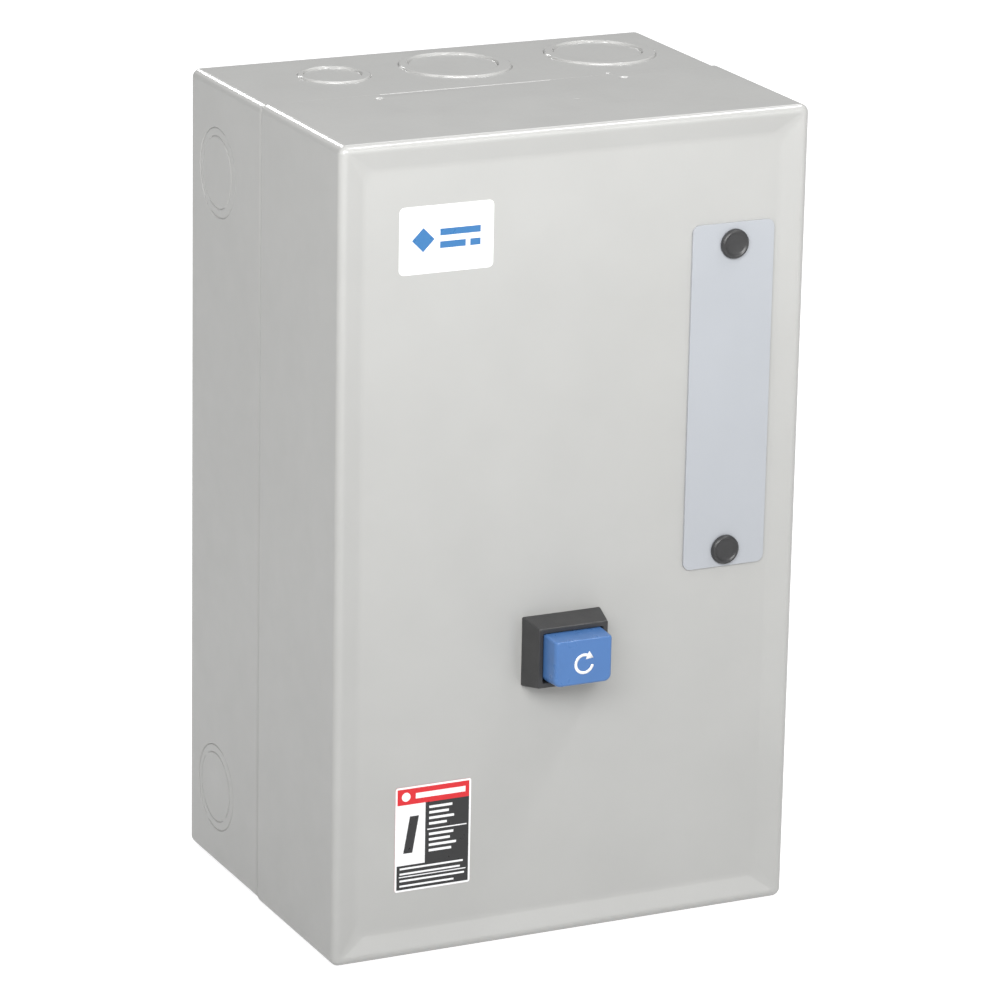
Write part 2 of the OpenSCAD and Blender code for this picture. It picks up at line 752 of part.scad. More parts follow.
module relay_screws() color("silver")
    for (p = relay_foot_screws) screw(p[0], p[1], foot_front, pan_back + 0.3, screw_r, 3.8, 2.2);

heater_h = [relay_low + 7, relay_low + 43];
heater_d = [91, 109];

module relay_cover() color("#303236") difference() {
    wall = 3;
    inner_front = 88;
    block(span(0, relay_w), [relay_split + 0.2, relay_front], relay_h);
    block(span(0, relay_w - 2 * wall), [relay_split - over, inner_front],
          [relay_h[0] + wall, relay_h[1] - wall]);
    for (p = poles) {
        block(span(p, 18), [heater_d[0] - 1, relay_front + over],
              [heater_h[0] - 1, heater_h[1] + 1]);
        block(span(p, 10), [link_d[0] - 0.2, link_d[1] + 0.2],
              [relay_h[1] - wall - over, relay_h[1] + over]);
        block(span(p, 9), [lug_tang_d[0] - 0.3, lug_tang_d[1] + 0.3],
              [relay_h[0] - over, relay_h[0] + wall + over]);
    }
    rod_y(reset_x, reset_h, [inner_front - over, relay_front + over], plunger_r + run);
    rod_y(dial_x, dial_h, [relay_front - 12, relay_front + over], dial_pin_r + run);
}

module link_bars() color("peru") for (p = poles) difference() {
    h = [relay_h[1] - 10, mid_h - screw_off + 5.5];
    block(span(p, 9), link_d, h);
    rod_y(p, mid_h - screw_off, [link_d[0] - over, link_d[1] + over], screw_r + 0.1);
}

module heater_packs() color("tan") for (p = poles) difference() {
    union() {
        block(span(p, 16.8), heater_d, [heater_h[0] + 9, heater_h[1] - 9]);
        block(span(p, 12), [heater_d[0] + 12, heater_d[0] + 14], heater_h);
        block(span(p, 16.8), [heater_d[0], heater_d[0] + 12], heater_h);
    }
    for (h = [heater_h[0] + 4.5, heater_h[1] - 4.5])
        rod_y(p, h, [heater_d[0] + 2, heater_d[1]], 1.9 + run);
}

module heater_screws() color("silver")
    for (p = poles, h = [heater_h[0] + 4.5, heater_h[1] - 4.5])
        screw(p, h, heater_d[0] + 14, heater_d[0] + 3, 1.9, 3.6, 2.4);

module bimetals() color("darkkhaki") for (p = poles) {
    block(span(p, 8), [bimetal_d[0] - 3, bimetal_d[1] + 3], [relay_h[0] + 4, relay_h[0] + 12]);
    block(span(p, bimetal_t), bimetal_d, [relay_h[0] + 11, bar_low + 2.5]);
}

// Bar that the three bimetals push sideways when they bend
module trip_bar() color("ivory") difference() {
    notch = bimetal_t + 2 * (trip_travel + 0.4);
    block(span(0, 58), [bimetal_d[0] - 4, bimetal_d[1] + 3], [bar_low, bar_low + 6]);
    for (p = poles) block(span(p, notch), [bimetal_d[0] - 1, bimetal_d[1] + 1],
                          [bar_low - over, bar_low + 4]);
}

module trip_terminals() color("goldenrod") for (h = trip_h) {
    difference() {
        block([relay_w / 2 - 9, relay_w / 2 + 9], [trip_d, trip_d + 1.2], span(h, 8));
        rod_y(trip_x, h, [trip_d - over, trip_d + 2], screw_r + 0.1);
    }
    screw(trip_x, h, trip_d + 2.2, trip_d - 5, screw_r, 3.6, 2);
}

plunger_r = 5;
plunger_back = 80;

module relay_reset() color("royalblue") {
    rod_y(reset_x, reset_h, [plunger_back + 4, plunger_front], plunger_r);
    rod_y(reset_x, reset_h, [plunger_back + 2, plunger_back + 5], plunger_r + 1.8);
}

module relay_reset_spring() color("silver")
    spring(reset_x, reset_h, [relay_split + 0.1, plunger_back + 1.9], 4.4, 0.9, 7);

dial_pin_r = 2.5;

module adjustment_dial() color("gold") difference() {
    disc_back = relay_front + 0.3;
    union() {
        rod_y(dial_x, dial_h, [relay_front - 10, disc_back + over], dial_pin_r);
        rod_y(dial_x, dial_h, [disc_back, disc_back + 2.6], 7.5);
    }
    block(span(dial_x, 1.6), [disc_back + 1.2, disc_back + 2.6 + over], span(dial_h, 11));
    block([dial_x, dial_x + 6.5], [disc_back + 1.8, disc_back + 2.6 + over], span(dial_h, 1));
}

lug_tang_d = [75, 77];

// Box lugs for the motor leads
module load_lugs() color("lightgray") for (p = poles) difference() {
    lug_d = [74, 90];
    lug_h = [relay_h[0] - 15, relay_h[0] - 0.5];
    union() {
        block(span(p, 13), lug_d, lug_h);
        block(span(p, 8), lug_tang_d, [lug_h[1] - over, relay_h[0] + 14]);
    }
    block(span(p, 9), [lug_d[0] + 2.5, lug_d[1] - 4], [lug_h[0] - over, lug_h[1] - 2]);
    rod_y(p, lug_screw_h, [lug_d[1] - 5, lug_d[1] + over], 2.8 + run);
}

lug_screw_h = relay_h[0] - 8;

module lug_screws() color("silver") for (p = poles) difference() {
    rod_y(p, lug_screw_h, [83, 93], 2.8);
    block(span(p, 7), [91.5, 93 + over], span(lug_screw_h, 1));
}

// ---- Control wiring ----

wire_r = 1.3;

wire_sides = 10;

function unit(v) = v / norm(v);
// Point of a route, given as [x, depth, height], in the part's frame
function place(p) = [p[0], -p[1], up(p[2])];
// Direction of the route at point i
function along(route, i) =
    unit(place(route[min(i + 1, len(route) - 1)]) - place(route[max(i - 1, 0)]));
// Side direction at point i, carried on from the point before it without twist
function side(route, i) =
    let (t = along(route, i), from = i == 0 ? [0.3, 1, 0.2] : side(route, i - 1))
    unit(from - t * (from * t));
function ring(route, i) =
    let (t = along(route, i), u = side(route, i), v = cross(t, u))
    [for (k = [0 : wire_sides - 1])
        place(route[i]) + wire_r * (cos(k * 360 / wire_sides) * u + sin(k * 360 / wire_sides) * v)];

// An insulated wire swept through the points of its route
module wire(route) {
    last = len(route) - 1;
    points = [for (i = [0 : last]) each ring(route, i)];
    walls = [for (i = [0 : last - 1], k = [0 : wire_sides - 1])
        let (next = (k + 1) % wire_sides, at = i * wire_sides)
        [at + k, at + wire_sides + k, at + wire_sides + next, at + next]];
    start = [for (k = [0 : wire_sides - 1]) k];
    end = [for (k = [wire_sides - 1 : -1 : 0]) last * wire_sides + k];
    polyhedron(points, concat(walls, [start, end]));
}

lug_t = 0.8;

// Ring of a crimped lug under a screw head
module ring_lug(x, d, h, hole_r) difference() {
    rod_y(x, h, [d, d + lug_t], 3.6);
    rod_y(x, h, [d - over, d + lug_t + over], hole_r + 0.15);
}

module control_wires() color("firebrick") {
    coil_lug = [41.3, 41.3 + lug_t];
    trip_lug = [trip_d + 1.3, trip_d + 1.3 + lug_t];
    aux_lug = [aux_plate_d, aux_plate_d + lug_t];
    low = mid_h - 9;
    high = mid_h + 9;
    tongue_w = 2.4;
    for (h = [low, high]) {
        ring_lug(coil_screw_x, coil_lug[0], h, screw_r);
        block([coil_screw_x + 3, coil_screw_x + 6.5], coil_lug, span(h, tongue_w));
    }
    ring_lug(trip_x, trip_lug[0], trip_h[1], screw_r);
    block([trip_x + 3, trip_x + 6.5], trip_lug, span(trip_h[1], tongue_w));
    ring_lug(aux_mid_x, aux_lug[0], aux_screw_h[3], aux_screw_r);
    block(span(aux_mid_x, tongue_w), aux_lug, [aux_screw_h[3] + 3, aux_h[1] + 3]);
    wire([[46.2, 42.6, low], [50, 44, low - 3], [53, 52, low - 22], [54, 66, 152],
          [53, 70, 134], [51, 69.4, trip_h[1] + 4], [47.3, 68.7, trip_h[1]]]);
    wire([[46.2, 42.6, high], [50, 44, high + 3], [54, 47, high + 20], [51, 48, 252],
          [40, 48, 263], [-38, 48, 263], [-50, 52, 256], [-52, 66, 247], [-47.5, 75, 240],
          [aux_mid_x, 79.3, aux_h[1] + 1.5]]);
}

enclosure_box();
front_cover();
cover_hook_tab();
cover_screw();
cover_nut();
blank_plate();
plate_plugs();
name_label();
hazard_label();
reset_bezel();
reset_retainer();
reset_button();
reset_pushrod();
reset_clip();
reset_spring();
mounting_pan();
pan_screws();
ground_screw();
contactor_base();
contactor_screws();
magnet_core();
shading_rings();
coil_bobbin();
coil_winding();
coil_terminals();
armature();
crossbar();
contact_bridges();
contact_springs();
return_springs();
contactor_housing();
arc_cover();
arc_screws();
line_contacts();
load_contacts();
line_screws();
load_screws();
aux_block();
aux_screws();
relay_base();
relay_screws();
relay_cover();
link_bars();
heater_packs();
heater_screws();
bimetals();
trip_bar();
trip_terminals();
relay_reset();
relay_reset_spring();
adjustment_dial();
load_lugs();
lug_screws();
control_wires();
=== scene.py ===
"""Looks of the enclosed motor starter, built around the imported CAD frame.

Lengths are millimetres, in the frame of the CAD: x to the right, y into the wall, z up, origin at
the centre of the wall face. A depth d is measured out of the wall, so y = -d. Meshes are scaled to
metres when they are made.
"""
import json
import math
import bmesh
import bpy
from mathutils import Matrix, Vector
from mathutils.geometry import delaunay_2d_cdt


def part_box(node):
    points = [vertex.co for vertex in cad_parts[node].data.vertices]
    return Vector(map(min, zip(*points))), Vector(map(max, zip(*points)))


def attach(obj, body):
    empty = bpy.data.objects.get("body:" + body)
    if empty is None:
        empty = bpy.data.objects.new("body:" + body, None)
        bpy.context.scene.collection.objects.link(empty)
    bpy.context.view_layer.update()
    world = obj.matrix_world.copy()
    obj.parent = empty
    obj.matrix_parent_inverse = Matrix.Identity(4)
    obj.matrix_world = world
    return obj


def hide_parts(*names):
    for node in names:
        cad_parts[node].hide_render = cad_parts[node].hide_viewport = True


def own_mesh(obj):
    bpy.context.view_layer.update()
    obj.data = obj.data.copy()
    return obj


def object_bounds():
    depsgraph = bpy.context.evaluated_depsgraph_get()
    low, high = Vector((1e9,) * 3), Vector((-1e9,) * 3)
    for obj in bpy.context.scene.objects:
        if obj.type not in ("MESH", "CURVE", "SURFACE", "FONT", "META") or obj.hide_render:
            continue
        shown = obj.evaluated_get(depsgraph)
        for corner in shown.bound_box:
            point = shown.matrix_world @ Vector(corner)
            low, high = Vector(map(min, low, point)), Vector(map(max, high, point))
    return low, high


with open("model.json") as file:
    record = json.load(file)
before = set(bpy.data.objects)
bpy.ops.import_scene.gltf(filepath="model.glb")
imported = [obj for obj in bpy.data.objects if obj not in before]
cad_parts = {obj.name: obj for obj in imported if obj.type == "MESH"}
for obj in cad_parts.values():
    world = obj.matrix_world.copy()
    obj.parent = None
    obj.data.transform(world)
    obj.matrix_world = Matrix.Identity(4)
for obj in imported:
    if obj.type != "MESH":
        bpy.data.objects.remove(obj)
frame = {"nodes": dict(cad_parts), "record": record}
cad_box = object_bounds()

MM = 0.001


def node_spans(node):
    """Spans of a CAD node in millimetres: across, depth out of the wall, up."""
    lo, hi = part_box(node)
    return ((lo.x / MM, hi.x / MM), (-hi.y / MM, -lo.y / MM), (lo.z / MM, hi.z / MM))


def middle(span):
    return (span[0] + span[1]) / 2


def size(span):
    return span[1] - span[0]


def shrink(span, low, high=None):
    """Span moved in by low at its start, and by high, or else low, at its end."""
    return (span[0] + low, span[1] - (low if high is None else high))


# ---- Camera, stage and light ----

CAMERA_PLACE = (-0.84243, -1.82883, 0.60213)
CAMERA_YAW, CAMERA_PITCH, CAMERA_ROLL = 25.74162, -17.32255, 1.12896
CAMERA_LENS = 188.85915


def make_camera():
    data = bpy.data.cameras.new("camera")
    data.lens = CAMERA_LENS
    data.clip_end = 50
    camera = bpy.data.objects.new("camera", data)
    turn = (Matrix.Rotation(math.radians(-CAMERA_YAW), 4, "Z")
            @ Matrix.Rotation(math.radians(90 + CAMERA_PITCH), 4, "X")
            @ Matrix.Rotation(math.radians(CAMERA_ROLL), 4, "Z"))
    camera.matrix_world = Matrix.Translation(CAMERA_PLACE) @ turn
    bpy.context.scene.collection.objects.link(camera)
    bpy.context.scene.camera = camera


def make_area_light(name, place, target, width, height, power):
    data = bpy.data.lights.new(name, "AREA")
    data.shape = "RECTANGLE"
    data.size, data.size_y = width, height
    data.energy = power
    light = bpy.data.objects.new(name, data)
    light.location = place
    light.rotation_euler = (Vector(target) - Vector(place)).to_track_quat("-Z", "Y").to_euler()
    bpy.context.scene.collection.objects.link(light)


# Name, place, target, width and height in metres, and power in watts
LIGHTS = (
    ("key", (-0.42, -1.1, 0.77), (0, -0.17, 1.35), 1.1, 1.1, 37.6),
    ("top", (0.8, -0.4, 1.65), (0, -0.1, 0.15), 1.5, 0.12, 14.5),
    ("rear", (-0.05, 1.65, 1.1), (0, -0.05, 0.15), 0.45, 0.3, 5.4),
    ("rear_left", (-0.95, 1.6, 0.95), (-0.1, 0, 0.1), 1.0, 0.5, 0.7),
    ("left", (-1.1, -0.3, 0.8), (-0.1, -0.07, 0.1), 0.5, 0.5, 1.5),
    ("rear_top", (0.8, 1.25, 1.3), (0, -0.1, 0.15), 0.8, 0.4, 3.3),
    ("front_low", (0.72, -1.67, 0.08), (0, -0.14, -0.1), 0.42, 0.3, 0.7),
    ("front_line", (0.72, -1.66, 0.45), (0, -0.14, 0.155), 0.5, 0.06, 0.8),
)
FLOOR_REACH = 12.0
FLOOR_GREY = 0.46
FLOOR_BOUNCE, FLOOR_GLOW = 0.33, 0.8
FLOOR_GAP = 0.1 * MM
WORLD_LIGHT = 0.35


def make_stage(floor_z):
    mesh = bpy.data.meshes.new("floor")
    corners = [(x * FLOOR_REACH, y * FLOOR_REACH, floor_z)
               for x, y in ((-1, -1), (1, -1), (1, 1), (-1, 1))]
    mesh.from_pydata(corners, [], [(0, 1, 2, 3)])
    floor = bpy.data.objects.new("floor", mesh)
    bpy.context.scene.collection.objects.link(floor)
    paint = bpy.data.materials.new("floor_paint")
    paint.use_nodes = True
    shader = paint.node_tree.nodes["Principled BSDF"]
    shader.inputs["Base Color"].default_value = (FLOOR_GREY, FLOOR_GREY, FLOOR_GREY, 1)
    shader.inputs["Roughness"].default_value = 0.9
    shader.inputs["Specular IOR Level"].default_value = 0.1
    shader.inputs["Emission Color"].default_value = (1, 1, 1, 1)
    # The floor shows as white, but sends less light back at the object than a white floor would
    tree = paint.node_tree
    glow = tree.nodes.new("ShaderNodeMapRange")
    glow.inputs["To Min"].default_value = FLOOR_BOUNCE
    glow.inputs["To Max"].default_value = FLOOR_GLOW
    tree.links.new(tree.nodes.new("ShaderNodeLightPath").outputs["Is Camera Ray"],
                   glow.inputs["Value"])
    tree.links.new(glow.outputs["Result"], shader.inputs["Emission Strength"])
    mesh.materials.append(paint)


def make_world():
    world = bpy.data.worlds.new("studio")
    world.use_nodes = True
    background = world.node_tree.nodes["Background"]
    background.inputs["Color"].default_value = (1, 1, 1, 1)
    background.inputs["Strength"].default_value = WORLD_LIGHT
    bpy.context.scene.world = world
    bpy.context.scene.view_settings.view_transform = "Standard"


make_camera()
make_stage(cad_box[0].z - FLOOR_GAP)
make_world()
for light in LIGHTS:
    make_area_light(*light)


# ---- Materials ----

NOISE_ROUGHNESS = 0.55
# Sockets of the Mix node that carry colours
MIX_FACTOR, MIX_FIRST, MIX_SECOND, MIX_COLOUR = 0, 6, 7, 2


class Paint:
    """A node material for one slot of the record: colour, roughness and fine bump all vary."""

    def __init__(self, name, colour, roughness, metallic=0.0, **sockets):
        self.material = bpy.data.materials.new(name)
        self.material.use_nodes = True
        self.tree = self.material.node_tree
        self.shader = self.tree.nodes["Principled BSDF"]
        self.colour = colour
        self.shader.inputs["Metallic"].default_value = metallic
        self.set("Roughness", roughness)
        for socket, value in sockets.items():
            self.set(socket.replace("_", " "), value)
        self.shader.inputs["Base Color"].default_value = (*colour, 1)
        self.place = self.node("ShaderNodeTexCoord").outputs["Object"]
        self.colour_socket = self.height = None

    def set(self, socket, value):
        self.shader.inputs[socket].default_value = value

    def node(self, kind, **settings):
        made = self.tree.nodes.new(kind)
        for key, value in settings.items():
            setattr(made, key, value)
        return made

    def link(self, source, target):
        self.tree.links.new(source, target)

    def noise(self, grain_mm, detail):
        """Noise whose grains are about grain_mm across."""
        made = self.node("ShaderNodeTexNoise")
        made.inputs["Scale"].default_value = 1 / (grain_mm * MM)
        made.inputs["Detail"].default_value = detail
        made.inputs["Roughness"].default_value = NOISE_ROUGHNESS
        self.link(self.place, made.inputs["Vector"])
        return made.outputs["Fac"]

    def ranged(self, source, low, high, start=0.3, end=0.7):
        made = self.node("ShaderNodeMapRange")
        for key, value in (("From Min", start), ("From Max", end),
                           ("To Min", low), ("To Max", high)):
            made.inputs[key].default_value = value
        self.link(source, made.inputs["Value"])
        return made.outputs["Result"]

    def mix(self, factor, first, second):
        """Mix of two colours, each a colour or a socket."""
        made = self.node("ShaderNodeMix", data_type="RGBA", blend_type="MIX")
        self.link(factor, made.inputs[MIX_FACTOR])
        for index, value in ((MIX_FIRST, first), (MIX_SECOND, second)):
            if isinstance(value, tuple):
                made.inputs[index].default_value = (*value, 1)
            else:
                self.link(value, made.inputs[index])
        return made.outputs[MIX_COLOUR]

    def vary_colour(self, amount, grain_mm, detail):
        """Colour goes from darker to lighter by amount, in patches of grain_mm."""
        fac = self.ranged(self.noise(grain_mm, detail), 0.0, 1.0)
        dark = tuple(c * (1 - amount) for c in self.colour)
        light = tuple(min(1.0, c * (1 + amount)) for c in self.colour)
        result = self.mix(fac, dark, light)
        self.colour_socket = result
        self.link(result, self.shader.inputs["Base Color"])

    def edges(self, colour, strength, reach_mm=0.5):
        """Edges within reach_mm take another colour: wear of the finish on the metals, and on the
        powder coat a painted highlight along the edges together with thinner paint.
        """
        bevel = self.node("ShaderNodeBevel", samples=4)
        bevel.inputs["Radius"].default_value = reach_mm * MM
        dot = self.node("ShaderNodeVectorMath", operation="DOT_PRODUCT")
        self.link(bevel.outputs["Normal"], dot.inputs[0])
        self.link(self.node("ShaderNodeNewGeometry").outputs["Normal"], dot.inputs[1])
        # Mask of the edge colour: wear on the metals, a painted highlight with thinner paint on the
        # powder coat
        wear_and_highlight = self.ranged(dot.outputs["Value"], strength, 0.0, 0.75, 0.98)
        result = self.mix(wear_and_highlight, self.colour_socket, colour)
        self.colour_socket = result
        self.link(result, self.shader.inputs["Base Color"])

    def vary_roughness(self, low, high, grain_mm, detail=3.0):
        self.link(self.ranged(self.noise(grain_mm, detail), low, high),
                  self.shader.inputs["Roughness"])

    def bump(self, grain_mm, depth_mm, detail=2.0, source=None):
        """Adds relief of about depth_mm to what is there."""
        made = self.node("ShaderNodeBump")
        made.inputs["Strength"].default_value = 1.0
        made.inputs["Distance"].default_value = depth_mm * MM
        self.link(source or self.noise(grain_mm, detail), made.inputs["Height"])
        if self.height is not None:
            self.link(self.height, made.inputs["Normal"])
        self.height = made.outputs["Normal"]
        self.link(self.height, self.shader.inputs["Normal"])


def powder_coat(name, colour, roughness=0.42):
    paint = Paint(name, colour, roughness, Coat_Weight=0.9, Coat_Roughness=0.1,
                  Specular_IOR_Level=0.3)
    paint.vary_colour(0.02, 34, 5)
    # Lighter edges: a painted highlight along the bends and rims, with thinner paint there
    paint.edges(tuple(min(1, c * 1.1) for c in colour), 0.5, 0.4)
    paint.vary_roughness(roughness - 0.05, roughness + 0.07, 12)
    paint.bump(1.6, 0.02, 2)
    paint.bump(0.35, 0.006, 2)
    return paint.material


def moulded(name, colour, roughness=0.5, grain_mm=0.35, depth_mm=0.012, amount=0.08, detail=3):
    paint = Paint(name, colour, roughness)
    paint.vary_colour(amount, 9, detail)
    paint.vary_roughness(roughness - 0.06, roughness + 0.08, 5, detail)
    paint.bump(grain_mm, depth_mm, detail)
    return paint.material


def metal(name, colour, roughness):
    paint = Paint(name, colour, roughness, metallic=1.0)
    paint.vary_colour(0.1, 6, 5)
    paint.edges(tuple(min(1, c * 1.2) for c in colour), 0.7)
    paint.vary_roughness(roughness - 0.08, roughness + 0.14, 3)
    paint.bump(0.5, 0.006, 3)
    return paint.material


def printed(name, colour, roughness=0.3):
    """Ink or bare film of a label: nearly smooth, with the faint mottle of a print."""
    paint = Paint(name, colour, roughness, Coat_Weight=0.12, Coat_Roughness=0.2)
    paint.vary_colour(0.03, 1.2, 3)
    paint.vary_roughness(roughness - 0.04, roughness + 0.08, 4)
    paint.bump(2.5, 0.01, 2)
    return paint.material


def laminated(name, colour):
    """Stack of thin sheets, side by side across x."""
    paint = Paint(name, colour, 0.42, metallic=1.0)
    paint.vary_colour(0.12, 5, 4)
    wave = paint.node("ShaderNodeTexWave", wave_type="BANDS", bands_direction="X")
    wave.inputs["Scale"].default_value = 0.5 / (0.5 * MM) / math.pi
    wave.inputs["Distortion"].default_value = 0.6
    wave.inputs["Detail"].default_value = 1
    paint.link(paint.place, wave.inputs["Vector"])
    lines = paint.ranged(wave.outputs["Fac"], 0.0, 1.0, 0.05, 0.35)
    dark = tuple(c * 0.35 for c in colour)
    paint.link(paint.mix(lines, dark, paint.colour_socket), paint.shader.inputs["Base Color"])
    paint.bump(1, 0.05, source=lines)
    return paint.material


def taped(name, colour):
    """Varnished tape wound over the coil."""
    paint = Paint(name, colour, 0.35, Coat_Weight=0.4, Coat_Roughness=0.25)
    paint.vary_colour(0.18, 5, 5)
    wave = paint.node("ShaderNodeTexWave", wave_type="BANDS", bands_direction="Y")
    wave.inputs["Scale"].default_value = 0.5 / (4 * MM) / math.pi
    wave.inputs["Distortion"].default_value = 0.8
    paint.link(paint.place, wave.inputs["Vector"])
    paint.bump(1, 0.15, source=wave.outputs["Fac"])
    paint.bump(0.6, 0.03, 3)
    return paint.material


CASE_GREY = (0.40, 0.40, 0.389)
PLATE_GREY = (0.373, 0.39, 0.417)
MATERIALS = {
    "case_paint": powder_coat("case_paint", CASE_GREY),
    "plate_paint": powder_coat("plate_paint", PLATE_GREY, 0.36),
    "label_white": printed("label_white", (0.86, 0.86, 0.86)),
    "label_hazard": printed("label_hazard", (0.62, 0.012, 0.02)),
    "black_plastic": moulded("black_plastic", (0.034, 0.034, 0.035), 0.36, 0.5, 0.02),
    "blue_plastic": moulded("blue_plastic", (0.064, 0.163, 0.39), 0.32, 3, 0.001, 0.02, 1),
    "dark_moulding": moulded("dark_moulding", (0.026, 0.028, 0.031), 0.48),
    "grey_plastic": moulded("grey_plastic", (0.20, 0.20, 0.21), 0.45),
    "zinc_steel": metal("zinc_steel", (0.66, 0.67, 0.66), 0.34),
    "spring_steel": metal("spring_steel", (0.55, 0.55, 0.56), 0.26),
    "green_steel": metal("green_steel", (0.04, 0.28, 0.09), 0.38),
    "laminations": laminated("laminations", (0.30, 0.31, 0.33)),
    "copper": metal("copper", (0.72, 0.34, 0.20), 0.33),
    "brass": metal("brass", (0.74, 0.54, 0.24), 0.3),
    "bobbin_nylon": moulded("bobbin_nylon", (0.66, 0.61, 0.50), 0.42, 0.6, 0.008, 0.04),
    "coil_tape": taped("coil_tape", (0.45, 0.25, 0.05)),
    "carrier_phenolic": moulded("carrier_phenolic", (0.13, 0.045, 0.025), 0.45),
    "heater_ceramic": moulded("heater_ceramic", (0.50, 0.41, 0.29), 0.55, 0.4, 0.03),
    "dial_plastic": moulded("dial_plastic", (0.72, 0.42, 0.03), 0.38, 0.5, 0.008, 0.05),
    "tinned_lug": metal("tinned_lug", (0.62, 0.62, 0.63), 0.4),
    "wire_insulation": moulded("wire_insulation", (0.45, 0.02, 0.02), 0.33, 0.8, 0.01, 0.05),
}
INK_BLUE = printed("ink_blue", (0.034, 0.15, 0.35))
INK_BLACK = printed("ink_black", (0.02, 0.02, 0.021))
PRINT_WHITE = printed("print_white", (0.85, 0.85, 0.86))


# ---- Mesh helpers ----

ARC_STEPS = 8
LEAST_CORNER_R = 0.05
WELD_GAP = 0.002


def rounded_rect(w, h, r):
    """Points of a rounded rectangle, anticlockwise from its lower right corner."""
    r = max(r, LEAST_CORNER_R)
    centres = ((1, -1), (1, 1), (-1, 1), (-1, -1))
    return [(sx * (w / 2 - r) + r * math.cos(a), sz * (h / 2 - r) + r * math.sin(a))
            for k, (sx, sz) in enumerate(centres)
            for a in (math.radians(90 * (k - 1 + i / ARC_STEPS)) for i in range(ARC_STEPS + 1))]


def circle(u, v, r, count=72):
    return [(u + r * math.cos(2 * math.pi * i / count), v + r * math.sin(2 * math.pi * i / count))
            for i in range(count)]


def inside(point, loop):
    """True if the point lies inside the closed loop."""
    u, v = point
    found = False
    for (u1, v1), (u2, v2) in zip(loop, loop[1:] + loop[:1]):
        if (v1 > v) != (v2 > v) and u < (u2 - u1) * (v - v1) / (v2 - v1) + u1:
            found = not found
    return found


def flat(bm, regions, to_point):
    """Fills nested flat regions. regions is a list of (loop, material index or None for a hole),
    the outermost first; where several hold a place, the last one counts."""
    points, edges = [], []
    for loop, _ in regions:
        start = len(points)
        points += [Vector(p) for p in loop]
        edges += [(start + i, start + (i + 1) % len(loop)) for i in range(len(loop))]
    out, _, faces = delaunay_2d_cdt(points, edges, [], 0, 1e-6)[:3]
    verts = {}
    for face in faces:
        centre = sum((out[i] for i in face), Vector((0, 0))) / len(face)
        index = None
        for loop, material in regions:
            if inside(centre, loop):
                index = material
        if index is None:
            continue
        for i in face:
            if i not in verts:
                verts[i] = bm.verts.new(to_point(*out[i]))
        made = bm.faces.new([verts[i] for i in face])
        made.material_index = index


def ring(bm, points):
    return [bm.verts.new(p) for p in points]


def bridge(bm, first, second, skip=()):
    """Quads between two rings; skip holds the indices of the quads left out."""
    count = len(first)
    for i in range(count):
        if i not in skip:
            j = (i + 1) % count
            bm.faces.new((first[i], first[j], second[j], second[i]))


def loft(bm, rings, close_start=True, close_end=True):
    """A skin over rings of points, with its ends closed."""
    made = [ring(bm, r) for r in rings]
    for a, b in zip(made, made[1:]):
        bridge(bm, a, b)
    if close_start:
        bm.faces.new(made[0][::-1])
    if close_end:
        bm.faces.new(made[-1])
    return made


def block(bm, x, d, z, material=0):
    """A box from its spans."""
    corners = [bm.verts.new((x[i], -d[j], z[k])) for k in (0, 1) for j in (1, 0) for i in (0, 1)]
    for quad in ((0, 2, 3, 1), (4, 5, 7, 6), (0, 1, 5, 4), (2, 6, 7, 3), (0, 4, 6, 2),
                 (1, 3, 7, 5)):
        face = bm.faces.new([corners[i] for i in quad])
        face.material_index = material


def lathe(bm, profile, place, count, material=0):
    """Turns a profile of (radius, height) about an axis out of the wall, through place."""
    x, d, z = place
    rows = []
    for r, h in profile:
        row = []
        for i in range(count if r > 1e-6 else 1):
            a = 2 * math.pi * i / count
            row.append(bm.verts.new((x + r * math.cos(a), -d - h, z + r * math.sin(a))))
        rows.append(row)
    for a, b in zip(rows, rows[1:]):
        for i in range(count):
            j = (i + 1) % count
            quad = [a[i % len(a)], a[j % len(a)], b[j % len(b)], b[i % len(b)]]
            quad = [v for k, v in enumerate(quad) if v not in quad[:k]]
            if len(quad) > 2:
                bm.faces.new(quad).material_index = material


def tube(bm, path, radius, sides):
    """Sweeps a circle along points, without twist."""
    path = [Vector(p) for p in path]
    side = None
    rows = []
    for i, p in enumerate(path):
        before, after = path[max(i - 1, 0)], path[min(i + 1, len(path) - 1)]
        along = (after - before).normalized()
        if side is None:
            side = along.orthogonal().normalized()
        side = (side - along * side.dot(along)).normalized()
        other = along.cross(side)
        rows.append(ring(bm, [p + radius * (math.cos(a) * side + math.sin(a) * other)
                              for a in (2 * math.pi * k / sides for k in range(sides))]))
    for a, b in zip(rows, rows[1:]):
        bridge(bm, a, b)
    bm.faces.new(rows[0][::-1])
    bm.faces.new(rows[-1])


replaced = set()


